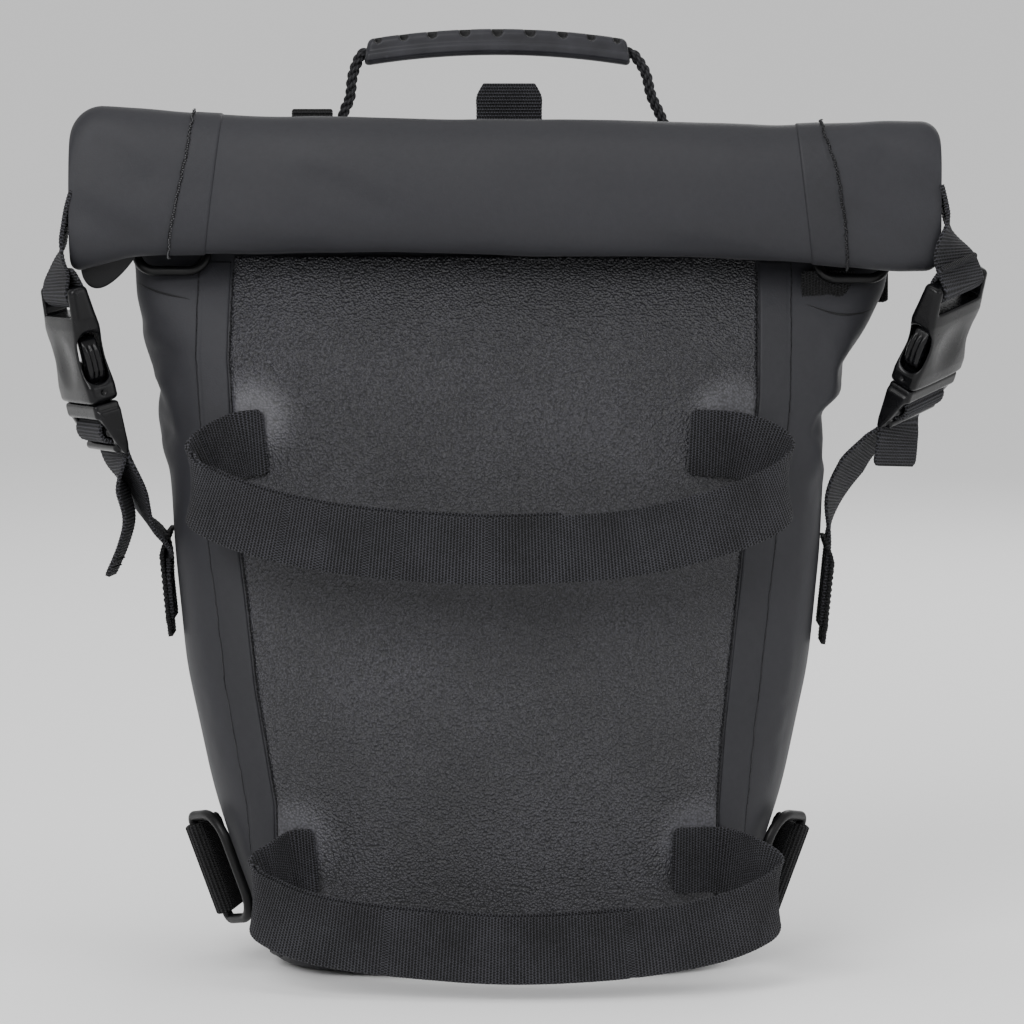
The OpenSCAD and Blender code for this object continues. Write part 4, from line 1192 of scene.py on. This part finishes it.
def make_grip():
    points, faces = moulded(grip_shape, (-51, HANDLE_Y - 7.5, 340), (51, HANDLE_Y + 7.5, 358), 0.45)
    grip = make_piece("grip_mould", points, faces, GRIP)
    # The finger slots' faces take the near-black look: painted shade in the recesses.
    grip.data.materials.append(DEEP_BLACK)
    middles = np.array([points[list(face)].mean(axis=0) for face in faces])
    grip.data.polygons.foreach_set("material_index", (slot_space(*middles.T) < 0.3).astype(np.int32))
    hand_over(grip, "grip", "handle", "handle_grip")


def make_anchors():
    radius = ROPE_R + 0.5 + WEB_T / 2
    for name, x, wide, lift in (("left", -70.6, 15.5, 8.2), ("right", 76, 14.0, 0.0)):
        controls = [tuple(far_face(x, z, 1.2)) for z in (278, 286, 294, 301)]
        for a in np.radians(np.arange(-15, 241, 30)):
            flap = lift * (math.sin(a) > 0.4)
            controls.append((x, HANDLE_Y + radius * math.cos(a), HANDLE_Z + radius * math.sin(a) + flap))
        path = strap_path(controls, (1, 0, 0))
        dark_strap("anchor_webbing_" + name, path, "handle_anchor_" + name, wide)
        tall = unit(far_face(x, 293) - far_face(x, 285))
        parts = box_stitches(far_face(x, 289, 2.2), [1, 0, 0], tall, [0, 1, 0], 11, 11)
        make_stitches("anchor_stitches_" + name, parts, "bag")


def make_neck_details():
    """The folded seams below the upper rings, laid on the finished body, and a dark webbing strip behind the
    right ring, below the roll.
    """
    body = bpy.data.objects["bag_fabric"]
    shown = body.evaluated_get(bpy.context.evaluated_depsgraph_get()).data
    corners = [v.co.copy() for v in shown.vertices]
    tree = BVHTree.FromPolygons(corners, [p.vertices[:] for p in shown.polygons])
    for name, line in (("left", [(-137, 261), (-128, 257.5), (-116, 255)]),
                       ("right", [(117, 253), (128, 249.5), (137, 249.5), (146, 252)])):
        path = curve([(x, -60, z) for x, z in line], 0.6)
        laid = []
        for point in path:
            hit, normal, _, _ = tree.ray_cast(Vector(point) * MM, Vector((0, 1, 0)))
            if hit is not None:
                laid.append(np.array(hit) / MM + np.array(normal) * 0.05)
        laid = np.array(laid)
        circle = np.array([(0, math.sin(a), math.cos(a)) for a in np.arange(8) * math.pi / 4])
        size = 0.42 * np.sin(np.linspace(0.15, math.pi - 0.15, len(laid)))
        rings = laid[:, None] + circle[None] * size[:, None, None]
        hand_over(make_piece("neck_seam_" + name, *tube(rings), DEEP_BLACK), "fabric", "bag")
    # A dark webbing strip laid on the body behind the right ring, below the roll.
    path = strap_path([near_face(x, 259.5, 1.0) for x in (115, 124, 133, 142, 149)], (0, 0, 1))
    strap("dark_strip_right", path, "bag", width=13.0, thick=1.8, material=DARK_WEBBING)


def make_rear_tab():
    x = 4.5
    controls = [tuple(far_face(x, z, 1.3)) for z in (284, 290, 298, 308)]
    controls += [(x, -11.4, 318), (x, -11.4, 326), (x, -11.4, 331), (x, -10.4, 334.6), (x, -9.1, 335.6),
                 (x, -7.8, 334.6), (x, -6.8, 331), (x, -6.8, 326), (x, -7.4, 318), (x, -7.2, 309)]
    # The last number narrows the tab towards its top, which rounds its corners
    controls = [c + (1 - 0.2 * float(soft_step(c[2], 332.6, 336)),) for c in with_across(controls, (1, 0, 0))]
    strap("rear_tab_webbing", curve(controls, STRAP_STEP), "bag", "rear_tab")


# ---- Stage, light and camera ----

# Each lamp's name, place in metres, power in watts and width in metres
LAMPS = [("key", (-0.8, -1.9, 1.25), 40, 1.2), ("fill", (1.5, -1.3, 0.9), 10, 1.2),
         ("top", (0.1, -0.3, 2.1), 7, 1.2), ("rim", (0.6, 1.7, 1.3), 10, 1.0)]


def make_stage():
    floor_look, tree, shader, place = new_look("pale_floor", Roughness=0.9, Specular_IOR_Level=0.1)
    tone = shade(tree, cloud(tree, place, 1.5), (0.95, 0.95, 0.95), (0.98, 0.98, 0.98))
    tree.links.new(tone, shader.inputs["Base Color"])
    flat, bend = 3600.0, 9000.0
    profile = [(0.01, 0.0), (1200.0, 0.0), (3200.0, 0.0)]
    angles = np.linspace(0, math.radians(48), 14)
    profile += [(flat + bend * math.sin(a), bend - bend * math.cos(a)) for a in angles]
    angle = (np.arange(72) * math.pi / 36)[None, :]
    radius, height = np.array(profile).T[:, :, None]
    grid = np.stack(np.broadcast_arrays(radius * np.cos(angle), radius * np.sin(angle), height - 0.4), -1)
    floor = make_piece("floor", grid.reshape(-1, 3), grid_faces(len(profile), 72, wrap=True), floor_look)
    world = bpy.data.worlds.new("studio")
    bpy.context.scene.world = world
    world.use_nodes = True
    world.node_tree.nodes["Background"].inputs[0].default_value = (1, 1, 1, 1)
    world.node_tree.nodes["Background"].inputs[1].default_value = 0.8
    for name, place, power, size in LAMPS:
        lamp = bpy.data.lights.new(name, "AREA")
        lamp.energy = power
        lamp.size = size
        holder = bpy.data.objects.new(name, lamp)
        holder.location = place
        holder.rotation_mode = "QUATERNION"
        holder.rotation_quaternion = (Vector((0, 0, 0.18)) - Vector(place)).to_track_quat("-Z", "Y")
        bpy.context.scene.collection.objects.link(holder)


def make_camera():
    lens = bpy.data.cameras.new("camera")
    lens.lens = 187.5
    camera = bpy.data.objects.new("camera", lens)
    target, distance, rise = Vector((0.0056, -0.055, 0.176)), 2.0, math.radians(4.5)
    back = Vector((0, -math.cos(rise), math.sin(rise)))
    camera.location = target + back * distance
    camera.rotation_mode = "QUATERNION"
    camera.rotation_quaternion = (-back).to_track_quat("-Z", "Y")
    lens.clip_start, lens.clip_end = 0.05, 60
    bpy.context.scene.collection.objects.link(camera)
    bpy.context.scene.camera = camera


make_camera()
make_stage()
make_body()
make_panel()
make_panel_edges()
make_body_tapes()
make_roll()
make_roll_tapes()
make_dark_tongue()
make_loop("upper_loop", UPPER_PLAN, UPPER_Z, UPPER_DROP, 190, (84, 99, 116, 128, 161))
make_loop("lower_loop", LOWER_PLAN, LOWER_Z, LOWER_DROP, 190, (96, 186))
make_side_straps()
make_socket_straps()
make_buckles()
make_ring_tabs()
make_rope()
make_grip()
make_anchors()
make_rear_tab()
make_neck_details()
for end in ("left", "right"):
    dress("d_ring_upper_" + end, RING)
    dress("d_ring_lower_" + end, RING)
for inner in ("base_board", "back_board", "closure_stiffener"):
    dress(inner, BOARD)
dress("foam_pad", FOAM)
